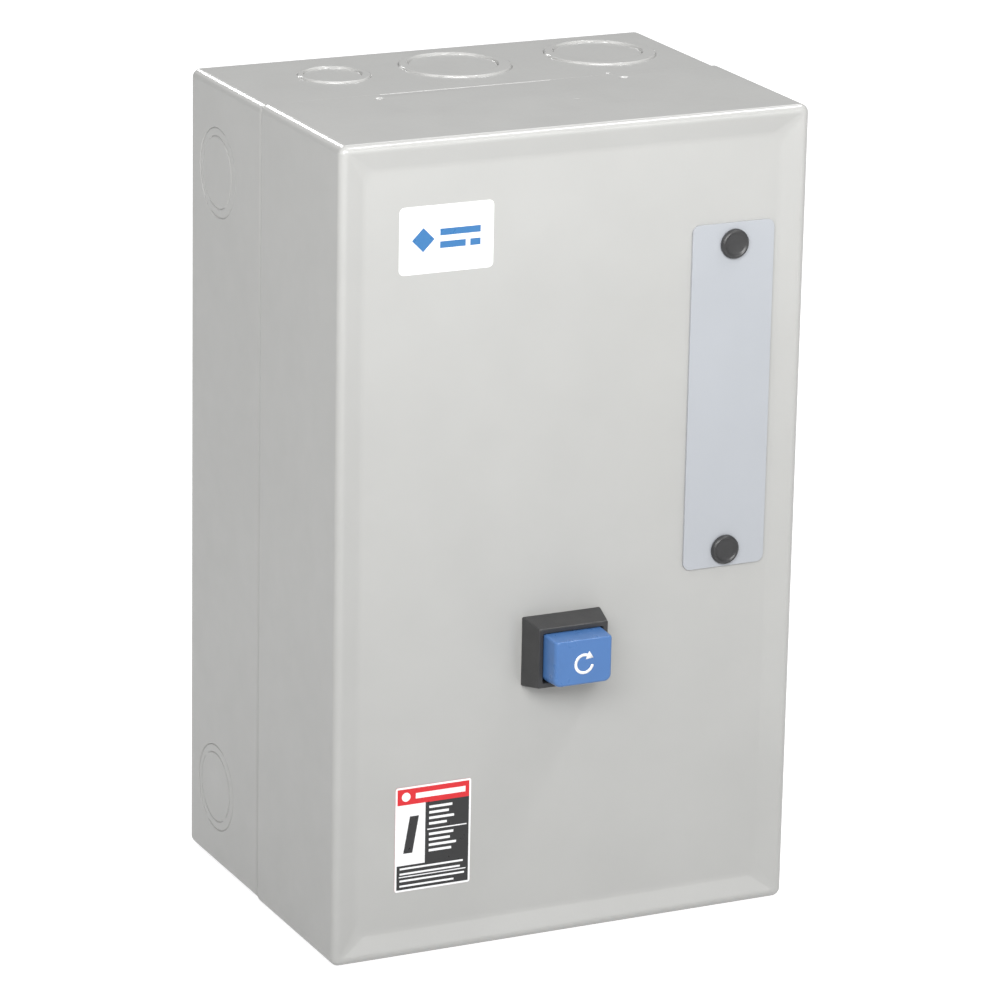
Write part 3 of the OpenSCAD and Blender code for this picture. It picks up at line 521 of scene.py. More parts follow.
def piece(name, bm, body, slot, stands_for=(), extra=(), sharp_deg=35, thickness=None,
          bevel=None, bevel_deg=40, weighted=True, weld=True):
    """Makes an object of a mesh in millimetres, with its material, body and modifiers."""
    if weld:
        bmesh.ops.remove_doubles(bm, verts=bm.verts, dist=WELD_GAP)
    bmesh.ops.recalc_face_normals(bm, faces=bm.faces)
    for face in bm.faces:
        face.smooth = True
    for edge in bm.edges:
        edge.smooth = not (len(edge.link_faces) == 2
                           and edge.calc_face_angle(0) > math.radians(sharp_deg))
    bmesh.ops.scale(bm, vec=(MM, MM, MM), verts=bm.verts)
    mesh = bpy.data.meshes.new(name)
    bm.to_mesh(mesh)
    bm.free()
    obj = bpy.data.objects.new(name, mesh)
    bpy.context.scene.collection.objects.link(obj)
    for material in (MATERIALS[slot], *extra):
        mesh.materials.append(material)
    if thickness:
        solid = obj.modifiers.new("thickness", "SOLIDIFY")
        solid.thickness = thickness * MM
        solid.offset = -1
        solid.use_even_offset = True
    if bevel:
        edge = obj.modifiers.new("bevel", "BEVEL")
        edge.width = bevel * MM
        edge.segments = 3
        edge.limit_method = "ANGLE"
        edge.angle_limit = math.radians(bevel_deg)
    if weighted:
        normals = obj.modifiers.new("normals", "WEIGHTED_NORMAL")
        normals.keep_sharp = not bevel
    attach(obj, body)
    if stands_for:
        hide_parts(*stands_for)
        replaced.update(stands_for)
    return obj


# ---- Sizes of the case, from the frame ----

case_x, case_d, case_z = node_spans("enclosure_box")
_, cover_d, _ = node_spans("front_cover")
CASE_W, CASE_H = size(case_x), size(case_z)
SHEET = 1.5
# Corners that run along the depth are wide bends, and the rim of the face is a tight one
BEND_R, RIM_R = 3.5, 2.6
SEAM_D = cover_d[0] - 0.3
RIM_D = cover_d[1]
# The face is a shallow dish behind the rim
FACE_DROP = 2.4
FACE_D = RIM_D - FACE_DROP
FACE_BEVEL = 12.0
FLAT_BAND = 0.6
LIP_FRONT = case_d[1]
LIP_IN = SHEET + 0.35
# The box is a little smaller than the cover, which slides over its lip
STEP_Z, STEP_X = 0.7, 0.1
KNOCKOUT_D, KNOCKOUT_SIDE_D = 32.0, 28.0
RING_SMALL, RING_MIDDLE, RING_LARGE = (28.2, 22.2, 1.5), (34.9, 28.2, 0.6), (44.0, 34.9, 2.0)
GROOVE_W, GROOVE_DEPTH, TAB_W = 0.6, 0.4, 3.2
# How far ring and disc stand out of the wall, and the angles of their tabs
END_LEVELS, END_TABS = (0.6, -0.1), ((8, 188), (115, 295))
SIDE_LEVELS, SIDE_TABS = (-0.12, -0.05), ((30, 210), (140, 320))


def up(height):
    """Height above the base of the case, as z."""
    return height - CASE_H / 2


TOP_KNOCKOUTS = ((-50.0, RING_SMALL), (1.0, RING_LARGE), (63.4, RING_LARGE))
SIDE_KNOCKOUTS = ((up(33.3), RING_MIDDLE), (up(283), RING_MIDDLE))

# Sides of a ring of rounded_rect, by the index of their straight quad
SIDES = {"right": ARC_STEPS, "top": 2 * ARC_STEPS + 1, "left": 3 * ARC_STEPS + 2,
         "bottom": 4 * ARC_STEPS + 3}


def side_point(side, half_w, half_h):
    """Turns (along, depth) on one wall of the case into a point."""
    return {"right": lambda u, d: (half_w, -d, u), "left": lambda u, d: (-half_w, -d, u),
            "top": lambda u, d: (u, -d, half_h), "bottom": lambda u, d: (u, -d, -half_h)}[side]


def wall(bm, side, w, h, d, reliefs=(), rear=(), holes=()):
    """The flat stretch of one wall between two depths. reliefs are rows of (along, depth, rise),
    from the rim of each one in; rear is the shape of the rear edge, from low to high."""
    half = (h if side in ("right", "left") else w) / 2 - BEND_R
    loop = [(-half, d[0]), *rear, (half, d[0]), (half, d[1]), (-half, d[1])]
    regions = [(loop, 0)] + [([(u, v) for u, v, _ in rows[0]], None) for rows in reliefs]
    regions += [(hole, None) for hole in holes]
    flat(bm, regions, side_point(side, w / 2, h / 2))
    for rows in reliefs:
        made = [ring(bm, [side_point(side, w / 2 + rise, h / 2 + rise)(u, v) for u, v, rise in row])
                for row in rows]
        for a, b in zip(made, made[1:]):
            bridge(bm, a, b)
        bm.faces.new(made[-1])


def shell(bm, w, h, stations, open_walls=None):
    """Lofts rounded rectangles at stations of (inset, depth), or (inset, depth, corner radius).
    open_walls is the index of the stretch whose straight walls are left out, for wall() to fill."""
    rings = []
    for inset, d, *radius in stations:
        loop = rounded_rect(w - 2 * inset, h - 2 * inset, radius[0] if radius else BEND_R - inset)
        rings.append(ring(bm, [(x, -d, z) for x, z in loop]))
    for k, (a, b) in enumerate(zip(rings, rings[1:])):
        bridge(bm, a, b, skip=SIDES.values() if k == open_walls else ())


def arc(radius, start_deg, end_deg, steps):
    """(inset, advance) along a rounded edge; at 0 degrees it runs along the wall, at 90 across."""
    angles = [math.radians(start_deg + (end_deg - start_deg) * i / steps) for i in range(steps + 1)]
    return [(radius * (1 - math.cos(a)), radius * math.sin(a)) for a in angles]


# ---- Sizes of what sits on the face, from the frame ----

plate_x, plate_d, plate_z = node_spans("blank_plate")
plugs_x, _, plugs_z = node_spans("plate_plugs")
PLUG_X = middle(plugs_x)
PLUG_R = size(plugs_x) / 2
plug_z = shrink(plugs_z, PLUG_R)
bezel_x, bezel_d, bezel_z = node_spans("reset_bezel")
button_x, button_d, button_z = node_spans("reset_button")
# Room between cap and bezel, wall of the sleeve around the cap, and room for it in the cover
BUTTON_GAP = 0.25
SLEEVE_WALL = 1.55
SLEEVE_GAP = SLEEVE_WALL + 0.3
INK_T = 0.06
reset_sleeve_x, reset_sleeve_z = shrink(button_x, -SLEEVE_GAP), shrink(button_z, -SLEEVE_GAP)


# ---- Rear box ----

def groove_rows(along, depth, radius, outside, within, tabs):
    """Rows across a round groove between two levels, bridged by tabs at the angles given."""
    rows, count = [], 96
    steps = (1, 0.7, 0.42, 0.2, 0.08, 0, -0.08, -0.2, -0.42, -0.7, -1)
    steepness, tab_ease = 2.5, 0.7
    low = min(outside, within) - GROOVE_DEPTH
    for step in steps:
        land = outside if step > 0 else within
        rise = low + (land - low) * (1 - (1 - abs(step)) ** steepness)
        bridged = (outside + within) / 2 + (outside - within) / 2 * step
        r = radius + GROOVE_W * step
        row = []
        for i in range(count):
            turn = 360 * i / count
            away = min(abs((turn - tab + 180) % 360 - 180) for tab in tabs)
            open_part = min(1, max(0, (math.radians(away) * radius - TAB_W / 2) / tab_ease))
            a = math.radians(turn)
            row.append((along + r * math.cos(a), depth + r * math.sin(a),
                        bridged + (rise - bridged) * open_part))
        rows.append(row)
    return rows


def knockout_rows(along, depth, sizes, levels, tabs):
    """A ring and, nearer to the wall by a shift, the disc inside it."""
    outer, inner, shift = sizes
    ring_level, disc_level = levels
    return (groove_rows(along, depth, outer / 2, 0, ring_level, tabs[0])
            + groove_rows(along, depth - shift, inner / 2, ring_level, disc_level, tabs[1]))


def dent_rows(along, depth, half_u, half_v, drop):
    """Rows of a smooth oval hollow, from its rim in."""
    rows, steps = [], 7
    for k in range(steps):
        s = 1 - k / steps
        rise = -drop * (1 - s * s) ** 2
        rows.append([(along + half_u * s * u, depth + half_v * s * v, rise)
                     for u, v in circle(0, 0, 1, 32)])
    return rows


PAN_BOSSES = [(x, up(h), 7.0) for x in (-42, 42) for h in (56, 254)]
GROUND_BOSS = (70, up(62), 4.5)
MOUNT_X, MOUNT_Z, MOUNT_R = 63.5, 133.5, 3.6


def make_rear_box():
    w, h = CASE_W - 2 * STEP_X, CASE_H - 2 * STEP_Z
    lip_x, edge_d = LIP_IN - STEP_X, 2.6
    wall_end = SEAM_D - edge_d
    bend = [(i, BEND_R - a) for i, a in arc(BEND_R, 90, 0, ARC_STEPS)]
    edge = [(i, wall_end + a * edge_d / lip_x) for i, a in arc(lip_x, 0, 90, 8)]
    bm = bmesh.new()
    shell(bm, w, h, bend + [(0, wall_end)], open_walls=len(bend) - 1)
    for side in SIDES:
        if side in ("top", "bottom"):
            reliefs = [knockout_rows(x, KNOCKOUT_D, sizes, END_LEVELS, END_TABS)
                       for x, sizes in TOP_KNOCKOUTS]
            reliefs.append(dent_rows(50, 66.2, 1.3, 1.3, 0.3))
        else:
            reliefs = [knockout_rows(z, KNOCKOUT_SIDE_D, sizes, SIDE_LEVELS, SIDE_TABS)
                       for z, sizes in SIDE_KNOCKOUTS]
        wall(bm, side, w, h, (BEND_R, wall_end), reliefs)
    # Rounded shoulder at the seam, and the lip that the cover slides over, with its rounded edge
    inner = lip_x + SHEET
    lip = [(lip_x, LIP_FRONT - 0.4), (lip_x + 0.12, LIP_FRONT - 0.12),
           (lip_x + 0.4, LIP_FRONT), (inner - 0.4, LIP_FRONT), (inner - 0.12, LIP_FRONT - 0.12),
           (inner, LIP_FRONT - 0.4), (inner, SEAM_D - 0.6), (inner - 0.2, SEAM_D - 1.1),
           (SHEET + 0.2, SEAM_D - 3.0), (SHEET, SEAM_D - 3.5)]
    inner_bend = [(SHEET + i, SHEET + BEND_R - SHEET - a, BEND_R - SHEET - i + 0.01)
                  for i, a in arc(BEND_R - SHEET, 0, 90, 5)]
    shell(bm, w, h, edge + lip + inner_bend)
    # The back, inside and out, with its four fixing holes
    holes = [circle(sx * MOUNT_X, sz * MOUNT_Z, MOUNT_R, 40) for sx in (-1, 1) for sz in (-1, 1)]
    outline = rounded_rect(w - 2 * BEND_R, h - 2 * BEND_R, 0)
    for d in (0, SHEET):
        flat(bm, [(outline, 0)] + [(hole, None) for hole in holes], lambda x, z, d=d: (x, -d, z))
    for hole in holes:
        bridge(bm, ring(bm, [(x, 0, z) for x, z in hole]),
               ring(bm, [(x, -SHEET, z) for x, z in hole]))
    bmesh.ops.remove_doubles(bm, verts=bm.verts, dist=WELD_GAP)
    # Drawn bosses that the pan and the earth screw stand on
    for x, z, front in PAN_BOSSES + [GROUND_BOSS]:
        profile = [(0, SHEET - 0.5), (9.5, SHEET - 0.5), (9.5, SHEET), (8.4, SHEET + 0.12),
                   (7.3, SHEET + 0.6), (6.5, front - 0.9), (6.1, front - 0.3), (5.5, front),
                   (0, front)]
        lathe(bm, profile, (x, 0, z), 48)
    piece("rear_box", bm, "case", "case_paint", ["enclosure_box"])


# ---- Cover ----

MITRE_R, FACE_CORNER_R = 1.6, 5
SCREW_D, SCREW_HOLE_R = 78.0, 5.0
WINDOW_HALF_W, WINDOW_Z = 12, (up(164), up(256))
PLUG_HOLE_R = 3.4


def frame_loop(x, z):
    """Corners of a rectangle from its spans."""
    return [(x[0], z[0]), (x[1], z[0]), (x[1], z[1]), (x[0], z[1])]


def make_cover():
    rear = cover_d[0]
    # The rim bends past a right angle, so that the border starts to fall at once
    slope_deg = math.degrees(math.atan2(FACE_DROP, FACE_BEVEL - RIM_R - 0.7))
    bend = [(i, RIM_D - RIM_R + a, max(BEND_R - i, MITRE_R))
            for i, a in arc(RIM_R, 0, 90 + slope_deg, ARC_STEPS + 2)]
    start = bend[-1]
    fall, run = start[1] - FACE_D, FACE_BEVEL - start[0]
    # The border falls evenly, then eases into the face; its mitres are soft
    even, border = 0.7, []
    for t in (0.1, 0.3, 0.5, 0.7, 0.75, 0.8, 0.85, 0.9, 0.95, 1):
        ease = max(0, t - even)
        fallen = (t - ease ** 2 / (2 * (1 - even))) / ((1 + even) / 2)
        border.append((start[0] + run * t, start[1] - fall * fallen, MITRE_R + 3.9 * t))
    # A narrow flat band keeps the shading of the large face even
    face_edge = FACE_BEVEL + FLAT_BAND
    border.append((face_edge, FACE_D, FACE_CORNER_R))
    bm = bmesh.new()
    low = rear + 0.32
    edge = [(0.3, rear), (0.08, rear + 0.09), (0, low)]
    shell(bm, CASE_W, CASE_H, edge + bend + border, open_walls=len(edge) - 1)
    span = (low, RIM_D - RIM_R)
    for side in ("left", "right"):
        wall(bm, side, CASE_W, CASE_H, span)
    screw_hole = circle(0, SCREW_D, SCREW_HOLE_R, 32)
    wall(bm, "bottom", CASE_W, CASE_H, span, holes=[screw_hole])
    # The top has a fold line by the seam, two coined ovals and a dimple
    fold = [(-49, low), (-48, low + 1.1), (22, low + 1.1), (23, low)]
    dents = [dent_rows(x, 77.4, 2.6, 2.2, 0.45) for x in (-51.3, 51.3)]
    dents.append(dent_rows(18, 104, 1.6, 1.6, 0.12))
    wall(bm, "top", CASE_W, CASE_H, span, dents, rear=fold)
    top = CASE_H / 2
    rows = [ring(bm, [(x, -d, z) for x in xs]) for xs, d, z in (
        ((-48, 22), low + 1.1, top), ((-48.4, 22.4), low + 0.7, top - 0.2),
        ((-49, 23), low, top))]
    for a, b in zip(rows, rows[1:]):
        bm.faces.new((a[0], a[1], b[1], b[0]))
    for k in (0, 1):
        bm.faces.new((rows[0][k], rows[1][k], rows[2][k]))
    # The face, with the openings for the reset operator and behind the blank plate; each opening
    # has its own flat band too
    regions = [(rounded_rect(CASE_W - 2 * face_edge, CASE_H - 2 * face_edge, FACE_CORNER_R), 0)]
    window = ((PLUG_X - WINDOW_HALF_W, PLUG_X + WINDOW_HALF_W), WINDOW_Z)
    for x_span, z_span in ((reset_sleeve_x, reset_sleeve_z), window):
        regions.append((frame_loop(shrink(x_span, -FLAT_BAND), shrink(z_span, -FLAT_BAND)), 0))
        regions.append((frame_loop(x_span, z_span), None))
    for z in plug_z:
        regions.append((circle(PLUG_X, z, PLUG_HOLE_R + FLAT_BAND, 40), 0))
        regions.append((circle(PLUG_X, z, PLUG_HOLE_R, 40), None))
    flat(bm, regions, lambda x, z: (x, -FACE_D, z))
    piece("cover_shell", bm, "cover", "case_paint", ["front_cover"], thickness=SHEET, bevel=0.25,
          bevel_deg=60)


# ---- Face of the cover ----

def make_blank_plate():
    bm = bmesh.new()
    w, h = size(plate_x), size(plate_z)
    x0, z0 = middle(plate_x), middle(plate_z)
    outline = [(x0 + x, z0 + z) for x, z in rounded_rect(w, h, 3)]
    regions = [(outline, 0)] + [(circle(PLUG_X, z, PLUG_HOLE_R, 40), None) for z in plug_z]
    flat(bm, regions, lambda x, z: (x, -plate_d[1], z))
    piece("plate", bm, "cover", "plate_paint", ["blank_plate"], thickness=size(plate_d) - 0.05,
          bevel=0.45)


def make_plugs():
    bm = bmesh.new()
    back = plate_d[1]
    rim = 4.5
    profile = [(0, -7.5), (2.2, -7.5), (3.2, -4), (3.2, 0), (PLUG_R - 0.3, 0.02), (PLUG_R, 0.3),
               (PLUG_R, 0.9), (PLUG_R - 0.12, 1.35), (PLUG_R - 0.4, 1.75), (PLUG_R - 0.8, 2.0),
               (rim + 0.35, 2.05), (rim + 0.05, 1.95), (rim - 0.25, 1.62), (rim - 0.7, 1.45),
               (rim * 0.6, 1.36), (0, 1.3)]
    for z in plug_z:
        lathe(bm, profile, (PLUG_X, back, z), 64)
    piece("plugs", bm, "cover", "black_plastic", ["plate_plugs"], sharp_deg=60, weighted=False)


FILM_T = 0.16


def film(name, node, slot, corner, shapes, inks):
    """A printed label: a thin film whose ink regions are faces of their own. shapes are loops
    about the label's middle with the index of their ink, 0 being the slot's own."""
    x, _, z = node_spans(node)
    x0, z0 = middle(x), middle(z)
    top = FACE_D + FILM_T
    outline = rounded_rect(size(x), size(z), corner)
    bm = bmesh.new()
    flat(bm, [(outline, 0)] + list(shapes), lambda u, v: (x0 + u, -top, z0 + v))
    rim = ring(bm, [(x0 + u, -top, z0 + v) for u, v in outline])
    foot = ring(bm, [(x0 + u, -FACE_D - 0.01, z0 + v) for u, v in outline])
    bridge(bm, rim, foot)
    piece(name, bm, "cover", slot, [node], extra=inks, weighted=False)


def bar(u, v, w, h, ink):
    return ([(u, v), (u + w, v), (u + w, v + h), (u, v + h)], ink)


def make_name_label():
    reach, u = 4.6, -9.4
    shapes = [([(u - reach, 0), (u, -reach), (u + reach, 0), (u, reach)], 1)]
    shapes += [bar(u, v, w, 2.6, 1) for u, v, w in ((-2.6, 1.1, 16.4), (-2.6, -3.7, 10.4),
                                                    (9.6, -3.7, 4.2))]
    film("maker_label", "name_label", "label_white", 2.0, shapes, [INK_BLUE])


def make_hazard_label():
    """Red head with a plain dot, a slanting bar on white, and light bars on black for text."""
    x, _, z = node_spans("hazard_label")
    w, h = size(x), size(z)
    edge = 0.8
    red, black, white = 0, 1, 2
    left, right, low, high = -w / 2 + edge, w / 2 - edge, -h / 2 + edge, h / 2 - edge
    head_h = 6.4
    head_low = high - head_h
    foot_high = low + 9.8
    split = left + 11.7
    shapes = [(rounded_rect(w, h, 1.0), white), bar(left, head_low, right - left, head_h, red),
              bar(left, low, right - left, foot_high - low, black),
              bar(split, foot_high - 0.01, right - split, head_low - foot_high + 0.01, black)]
    shapes.append((circle(left + 3.6, head_low + 3.2, 1.8, 32), white))
    shapes.append(bar(left + 7.6, head_low + 2.1, right - left - 9.2, 2.2, white))
    # The slanting bar
    middle_u, middle_v = (left + split) / 2, (foot_high + head_low) / 2
    slant = [(-0.6, 7.4), (-3.2, -7.4), (0.6, -7.4), (3.2, 7.4)]
    shapes.append(([(middle_u + u, middle_v + v) for u, v in slant], black))
    # Bars of the side panel, in two groups, and of the foot
    panel = split + 1.6
    for k, length in enumerate((9.6, 8.2, 10.4, 7.4)):
        shapes.append(bar(panel, head_low - 2.6 - 2.25 * k, length, 1.0, white))
    shapes.append(bar(split + 0.9, head_low - 11.3, right - split - 1.8, 0.45, white))
    for k, length in enumerate((10.2, 8.8, 11.4, 9.4)):
        shapes.append(bar(panel, head_low - 13.6 - 2.2 * k, length, 1.0, white))
    for k, length in enumerate((26.4, 25.2, 27.0, 22.6)):
        drop = 1.7 + 2.1 * k + (0.7 if k > 1 else 0)
        shapes.append(bar(left + 1.3, foot_high - drop, length, 0.75, white))
    shapes.append(bar(left + 1.0, foot_high - 4.85, right - left - 2.0, 0.4, white))
    film("hazard_panel", "hazard_label", "label_hazard", 1.0, shapes, [INK_BLACK, PRINT_WHITE])


# ---- Reset operator ----

def framed(w_span, z_span, r, d):
    """Ring of points: a rounded rectangle at a depth."""
    x0, z0 = middle(w_span), middle(z_span)
    return [(x0 + x, -d, z0 + z) for x, z in rounded_rect(size(w_span), size(z_span), r)]


def make_bezel():
    bm = bmesh.new()
    front, back, floor = bezel_d[1], FACE_D, bezel_d[0]
    draft, foot_h, floor_t = 2.2, 0.8, 2
    foot_r, slope_r, front_r, well_r, sleeve_r = 0.7, 0.6, 0.5, 0.6, 0.8
    well_x, well_z = shrink(button_x, -BUTTON_GAP), shrink(button_z, -BUTTON_GAP)
    rings = [framed(bezel_x, bezel_z, foot_r, d) for d in (back + 0.02, back + foot_h)]
    slope_x, slope_z = shrink(bezel_x, draft - 0.35), shrink(bezel_z, draft - 0.35)
    rings.append(framed(slope_x, slope_z, slope_r, front - 0.45))
    # Rounded edges of the front, outside and around the well
    for inset, drop in ((0.08, 0.2), (0.25, 0.06), (0.5, 0)):
        rings.append(framed(shrink(slope_x, inset), shrink(slope_z, inset), front_r, front - drop))
    for grow, drop in ((0.5, 0), (0.2, 0.06), (0.04, 0.22), (0, 0.5), (0, front - floor - floor_t)):
        rings.append(framed(shrink(well_x, -grow), shrink(well_z, -grow), well_r, front - drop))
    loft(bm, rings, close_start=False, close_end=False)
    # The sleeve through the cover, and its floor around the pushrod
    sleeve_x, sleeve_z = shrink(button_x, -SLEEVE_WALL), shrink(button_z, -SLEEVE_WALL)
    clip_edge, rod_gap = 2.6, 0.1
    rod_r = size(node_spans("reset_clip")[0]) / 2 - clip_edge
    loft(bm, [framed(sleeve_x, sleeve_z, sleeve_r, d) for d in (back, floor)],
         close_start=False, close_end=False)
    hole = circle(middle(button_x), middle(button_z), rod_r + rod_gap, 40)
    for region, d in ((rounded_rect(size(sleeve_x), size(sleeve_z), sleeve_r), floor),
                      (rounded_rect(size(well_x), size(well_z), well_r), floor + floor_t)):
        outline = [(middle(button_x) + u, middle(button_z) + v) for u, v in region]
        flat(bm, [(outline, 0), (hole, None)], lambda u, v, d=d: (u, -d, v))
    piece("bezel", bm, "cover", "black_plastic", ["reset_bezel"])


def make_button():
    """Cap whose top ends in a crisp edge, with soft flanks and large lower corners."""
    bm = bmesh.new()
    back, front = button_d[0], button_d[1] - INK_T
    flank, shoulder, low_round = 1.4, 2.2, 1.2
    drop_at = bezel_d[1] + 0.5
    fall, low_rise, side_draft = 0.3, 0.35, 0.2
    crisp_r, top_r, low_r, low_r_ease = 0.5, 1.1, 2.9, 0.6
    x0 = middle(button_x)

    def section(x, z, upper, lower, d):
        """Outline with its own radius for the upper and the lower corners."""
        half, points = size(x) / 2, []
        for sx, z_edge, sz, r, turn in ((1, z[0], 1, lower, -90), (1, z[1], -1, upper, 0),
                                        (-1, z[1], -1, upper, 90), (-1, z[0], 1, lower, 180)):
            for i in range(ARC_STEPS + 1):
                a = math.radians(turn + 90 * i / ARC_STEPS)
                points.append((x0 + sx * (half - r) + r * math.cos(a), -d,
                               z_edge + sz * r + r * math.sin(a)))
        return points

    rings = [section(button_x, button_z, 1.2, low_r, d) for d in (back, drop_at)]
    start = front - shoulder
    body_x, body_z = shrink(button_x, side_draft), shrink(button_z, low_rise, fall)
    rings.append(section(body_x, body_z, top_r, low_r, start))
    slope = fall / (start - drop_at)
    steps = 10
    for k in range(1, steps + 1):
        a = math.radians(90 * k / steps)
        side = flank * (1 - math.cos(a))
        low = low_round * (1 - math.cos(a))
        # The top keeps its slope until its last half millimetre
        d = start + shoulder * math.sin(a)
        last = max(0.0, (d - front + crisp_r) / crisp_r)
        round_off = crisp_r * max(0.0, 1 - math.sqrt(max(0.0, 1 - last ** 2)))
        top = slope * (d - start) + round_off
        rings.append(section(shrink(body_x, side), shrink(body_z, low, top), top_r,
                             low_r - low_r_ease * k / steps, d))
    loft(bm, rings)
    piece("button_cap", bm, "reset_operator", "blue_plastic", ["reset_button"], sharp_deg=50)


def make_button_symbol():
    """A three-quarter turn arrow, printed in white on the front of the cap."""
    x0, z0 = middle(button_x), middle(button_z) - 0.55
    r, t = 4.1, 1.15
    start, end = 65, 350
    front = button_d[1]
    outer = [(math.cos(math.radians(a)), math.sin(math.radians(a)))
             for a in range(start, end + 1, 5)]
    loop = [(x0 + r * c, z0 + r * s) for c, s in outer]
    loop += [(x0 + (r - t) * c, z0 + (r - t) * s) for c, s in outer[::-1]]
    tip = math.radians(start)
    mid = r - t / 2
    head, width = 2.6, 1.75
    cx, cz = x0 + mid * math.cos(tip), z0 + mid * math.sin(tip)
    along = (math.sin(tip), -math.cos(tip))
    across = (math.cos(tip), math.sin(tip))
    arrow = [(cx + width * across[0] - 0.2 * along[0], cz + width * across[1] - 0.2 * along[1]),
             (cx - width * across[0] - 0.2 * along[0], cz - width * across[1] - 0.2 * along[1]),
             (cx + head * along[0], cz + head * along[1])]
    bm = bmesh.new()
    flat(bm, [(loop, 0), (arrow, 0)], lambda u, v: (u, -front, v))
    piece("button_symbol", bm, "reset_operator", "label_white", thickness=INK_T - 0.01,
          weighted=False)


# ---- Springs ----

SPRING_GAP = 0.02
POINTS_PER_TURN, SPRING_SIDES = 20, 10


def spring_path(x, z, d, r, wire, turns):
    """Points of a compression spring with closed ends, from the lower depth to the higher."""
    low, high = d[0] + wire / 2, d[1] - wire / 2
    count = int(turns * POINTS_PER_TURN)
    path = []
    for i in range(count + 1):
        t = turns * i / count
        if t < 1:
            rise = wire * t
        elif t > turns - 1:
            rise = high - low - wire * (turns - t)
        else:
            rise = wire + (high - low - 2 * wire) * (t - 1) / (turns - 2)
        a = 2 * math.pi * t
        path.append((x + r * math.cos(a), -(low + rise), z + r * math.sin(a)))
    return path


def make_springs(name, node, body, wire, turns, count=1, joint=None):
    """Helices in place of the sleeves of a node; its springs stand side by side across x."""
    x, d, z = node_spans(node)
    across = size(z)
    step = (size(x) - across) / max(1, count - 1)
    bm = bmesh.new()
    for k in range(count):
        path = spring_path(x[0] + across / 2 + step * k, middle(z), shrink(d, SPRING_GAP),
                           (across - wire) / 2 - SPRING_GAP, wire, turns)
        tube(bm, path, wire / 2, SPRING_SIDES)
    obj = piece(name, bm, body, "spring_steel", [node], sharp_deg=60, weighted=False, weld=False)
    if joint:
        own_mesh(obj)


# ---- Control wires ----

WIRE_R, WIRE_BEND, WIRE_SIDES = 1.3, 7.0, 16
LUG_T, LUG_R = 0.8, 3.6
# A lug's tongue: its width, its start, and its end on the side lugs and on the auxiliary one
TONGUE_W, TONGUE_START, SIDE_END, AUX_END = 2.4, 3, 6.5, 9
LUG_HOLE_R, AUX_HOLE_R = 2.15, 1.85
# Lugs as (x, depth, height above the base, hole radius), and the routes as (x, depth, height)
SIDE_LUGS = ((41, 41.3, 191, LUG_HOLE_R), (41, 41.3, 209, LUG_HOLE_R), (42, 67.3, 118, LUG_HOLE_R))
AUX_LUG = (-44.1, 78, 222, AUX_HOLE_R)
COIL_TRIP = ((46.2, 42.6, 191), (50, 44, 188), (53, 52, 169), (54, 66, 152), (53, 70, 134),
             (51, 69.4, 122), (47.3, 68.7, 118))
COIL_AUX = ((46.2, 42.6, 209), (50, 44, 212), (54, 47, 229), (51, 48, 252), (40, 48, 263),
            (-38, 48, 263), (-50, 52, 256), (-52, 66, 247), (-47.5, 75, 240), (-44.1, 79.3, 229.5))


def rounded_path(points, reach):
    """Path through points whose corners are rounded over reach, or over most of half a stretch."""
    steps, most = 8, 0.48
    points = [Vector(p) for p in points]
    path = [points[0]]
    for before, corner, after in zip(points, points[1:], points[2:]):
        first, last = (corner + (end - corner).normalized()
                       * min(reach, most * (end - corner).length) for end in (before, after))
        for i in range(steps + 1):
            t = i / steps
            path.append(first.lerp(corner, t).lerp(corner.lerp(last, t), t))
    return path + [points[-1]]


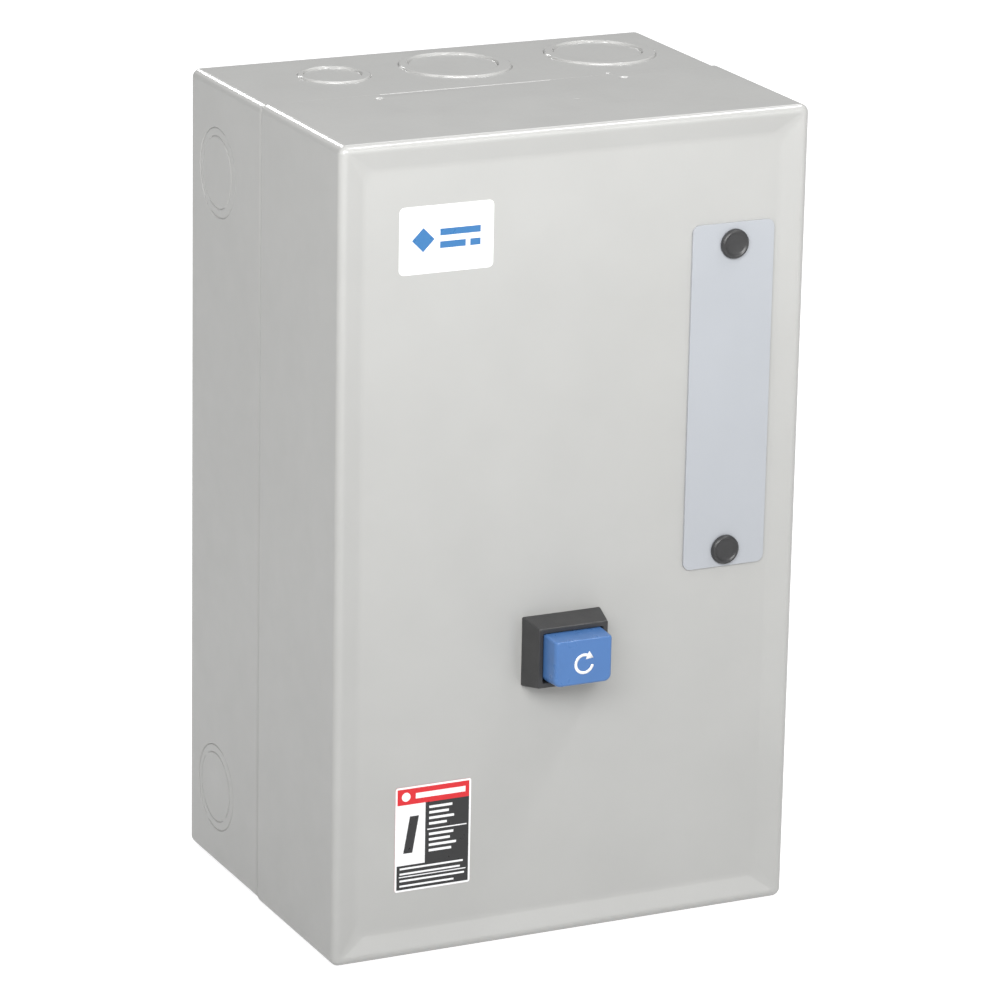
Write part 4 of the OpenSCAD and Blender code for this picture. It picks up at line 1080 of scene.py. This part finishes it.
def make_control_wires():
    """Insulated wires with round bends, and the ring lugs at their ends."""
    bm = bmesh.new()
    for route in (COIL_TRIP, COIL_AUX):
        points = [(x, -d, up(h)) for x, d, h in route]
        tube(bm, rounded_path(points, WIRE_BEND), WIRE_R, WIRE_SIDES)
    half = TONGUE_W / 2
    for x, d, h, hole in (*SIDE_LUGS, AUX_LUG):
        lathe(bm, [(hole, 0), (LUG_R, 0), (LUG_R, LUG_T), (hole, LUG_T), (hole, 0)], (x, d, up(h)),
              40, material=1)
        if hole == AUX_HOLE_R:
            tongue = (x - half, x + half), (up(h + TONGUE_START), up(h + AUX_END))
        else:
            tongue = (x + TONGUE_START, x + SIDE_END), (up(h - half), up(h + half))
        block(bm, tongue[0], (d, d + LUG_T), tongue[1], 1)
    piece("wires", bm, "case", "wire_insulation", ["control_wires"], [MATERIALS["tinned_lug"]],
          weighted=False)


# ---- Details of the carried-over nodes ----

# Width of the small rounded edges, by material slot
EDGE_WIDTH = {"dark_moulding": 0.45, "black_plastic": 0.3, "grey_plastic": 0.3, "blue_plastic": 0.3,
              "zinc_steel": 0.18, "green_steel": 0.25, "copper": 0.15, "brass": 0.15,
              "tinned_lug": 0.3, "carrier_phenolic": 0.3, "bobbin_nylon": 0.3,
              "heater_ceramic": 0.35, "dial_plastic": 0.3, "coil_tape": 0.5, "case_paint": 0.2}


def soften(obj, width):
    """Small rounded edges on a CAD node, with even shading."""
    weld = obj.modifiers.new("weld", "WELD")
    weld.merge_threshold = WELD_GAP * MM
    edge = obj.modifiers.new("bevel", "BEVEL")
    edge.width = width * MM
    edge.segments = 2
    edge.limit_method = "ANGLE"
    edge.angle_limit = math.radians(40)
    edge.use_clamp_overlap = True
    edge.harden_normals = False
    obj.modifiers.new("normals", "WEIGHTED_NORMAL")


make_rear_box()
make_cover()
make_blank_plate()
make_plugs()
make_name_label()
make_hazard_label()
make_bezel()
make_button()
make_button_symbol()
make_springs("operator_spring", "reset_spring", "cover", 1.0, 6.5, joint="reset_press")
make_springs("plunger_spring", "relay_reset_spring", "case", 0.9, 7, joint="relay_reset_press")
make_springs("carrier_springs", "return_springs", "case", 0.9, 7, 2, joint="armature_pull_in")
make_springs("bridge_springs", "contact_springs", "contact_carrier", 0.8, 6, 3)
make_control_wires()


# ---- The remaining CAD nodes take the material of their slot ----

for row in frame["record"]["subparts"]:
    obj = frame["nodes"][row["node"]]
    obj.data.materials.clear()
    obj.data.materials.append(MATERIALS[row["material_slot"]])
    width = EDGE_WIDTH.get(row["material_slot"])
    if width and row["node"] not in replaced:
        soften(obj, width)
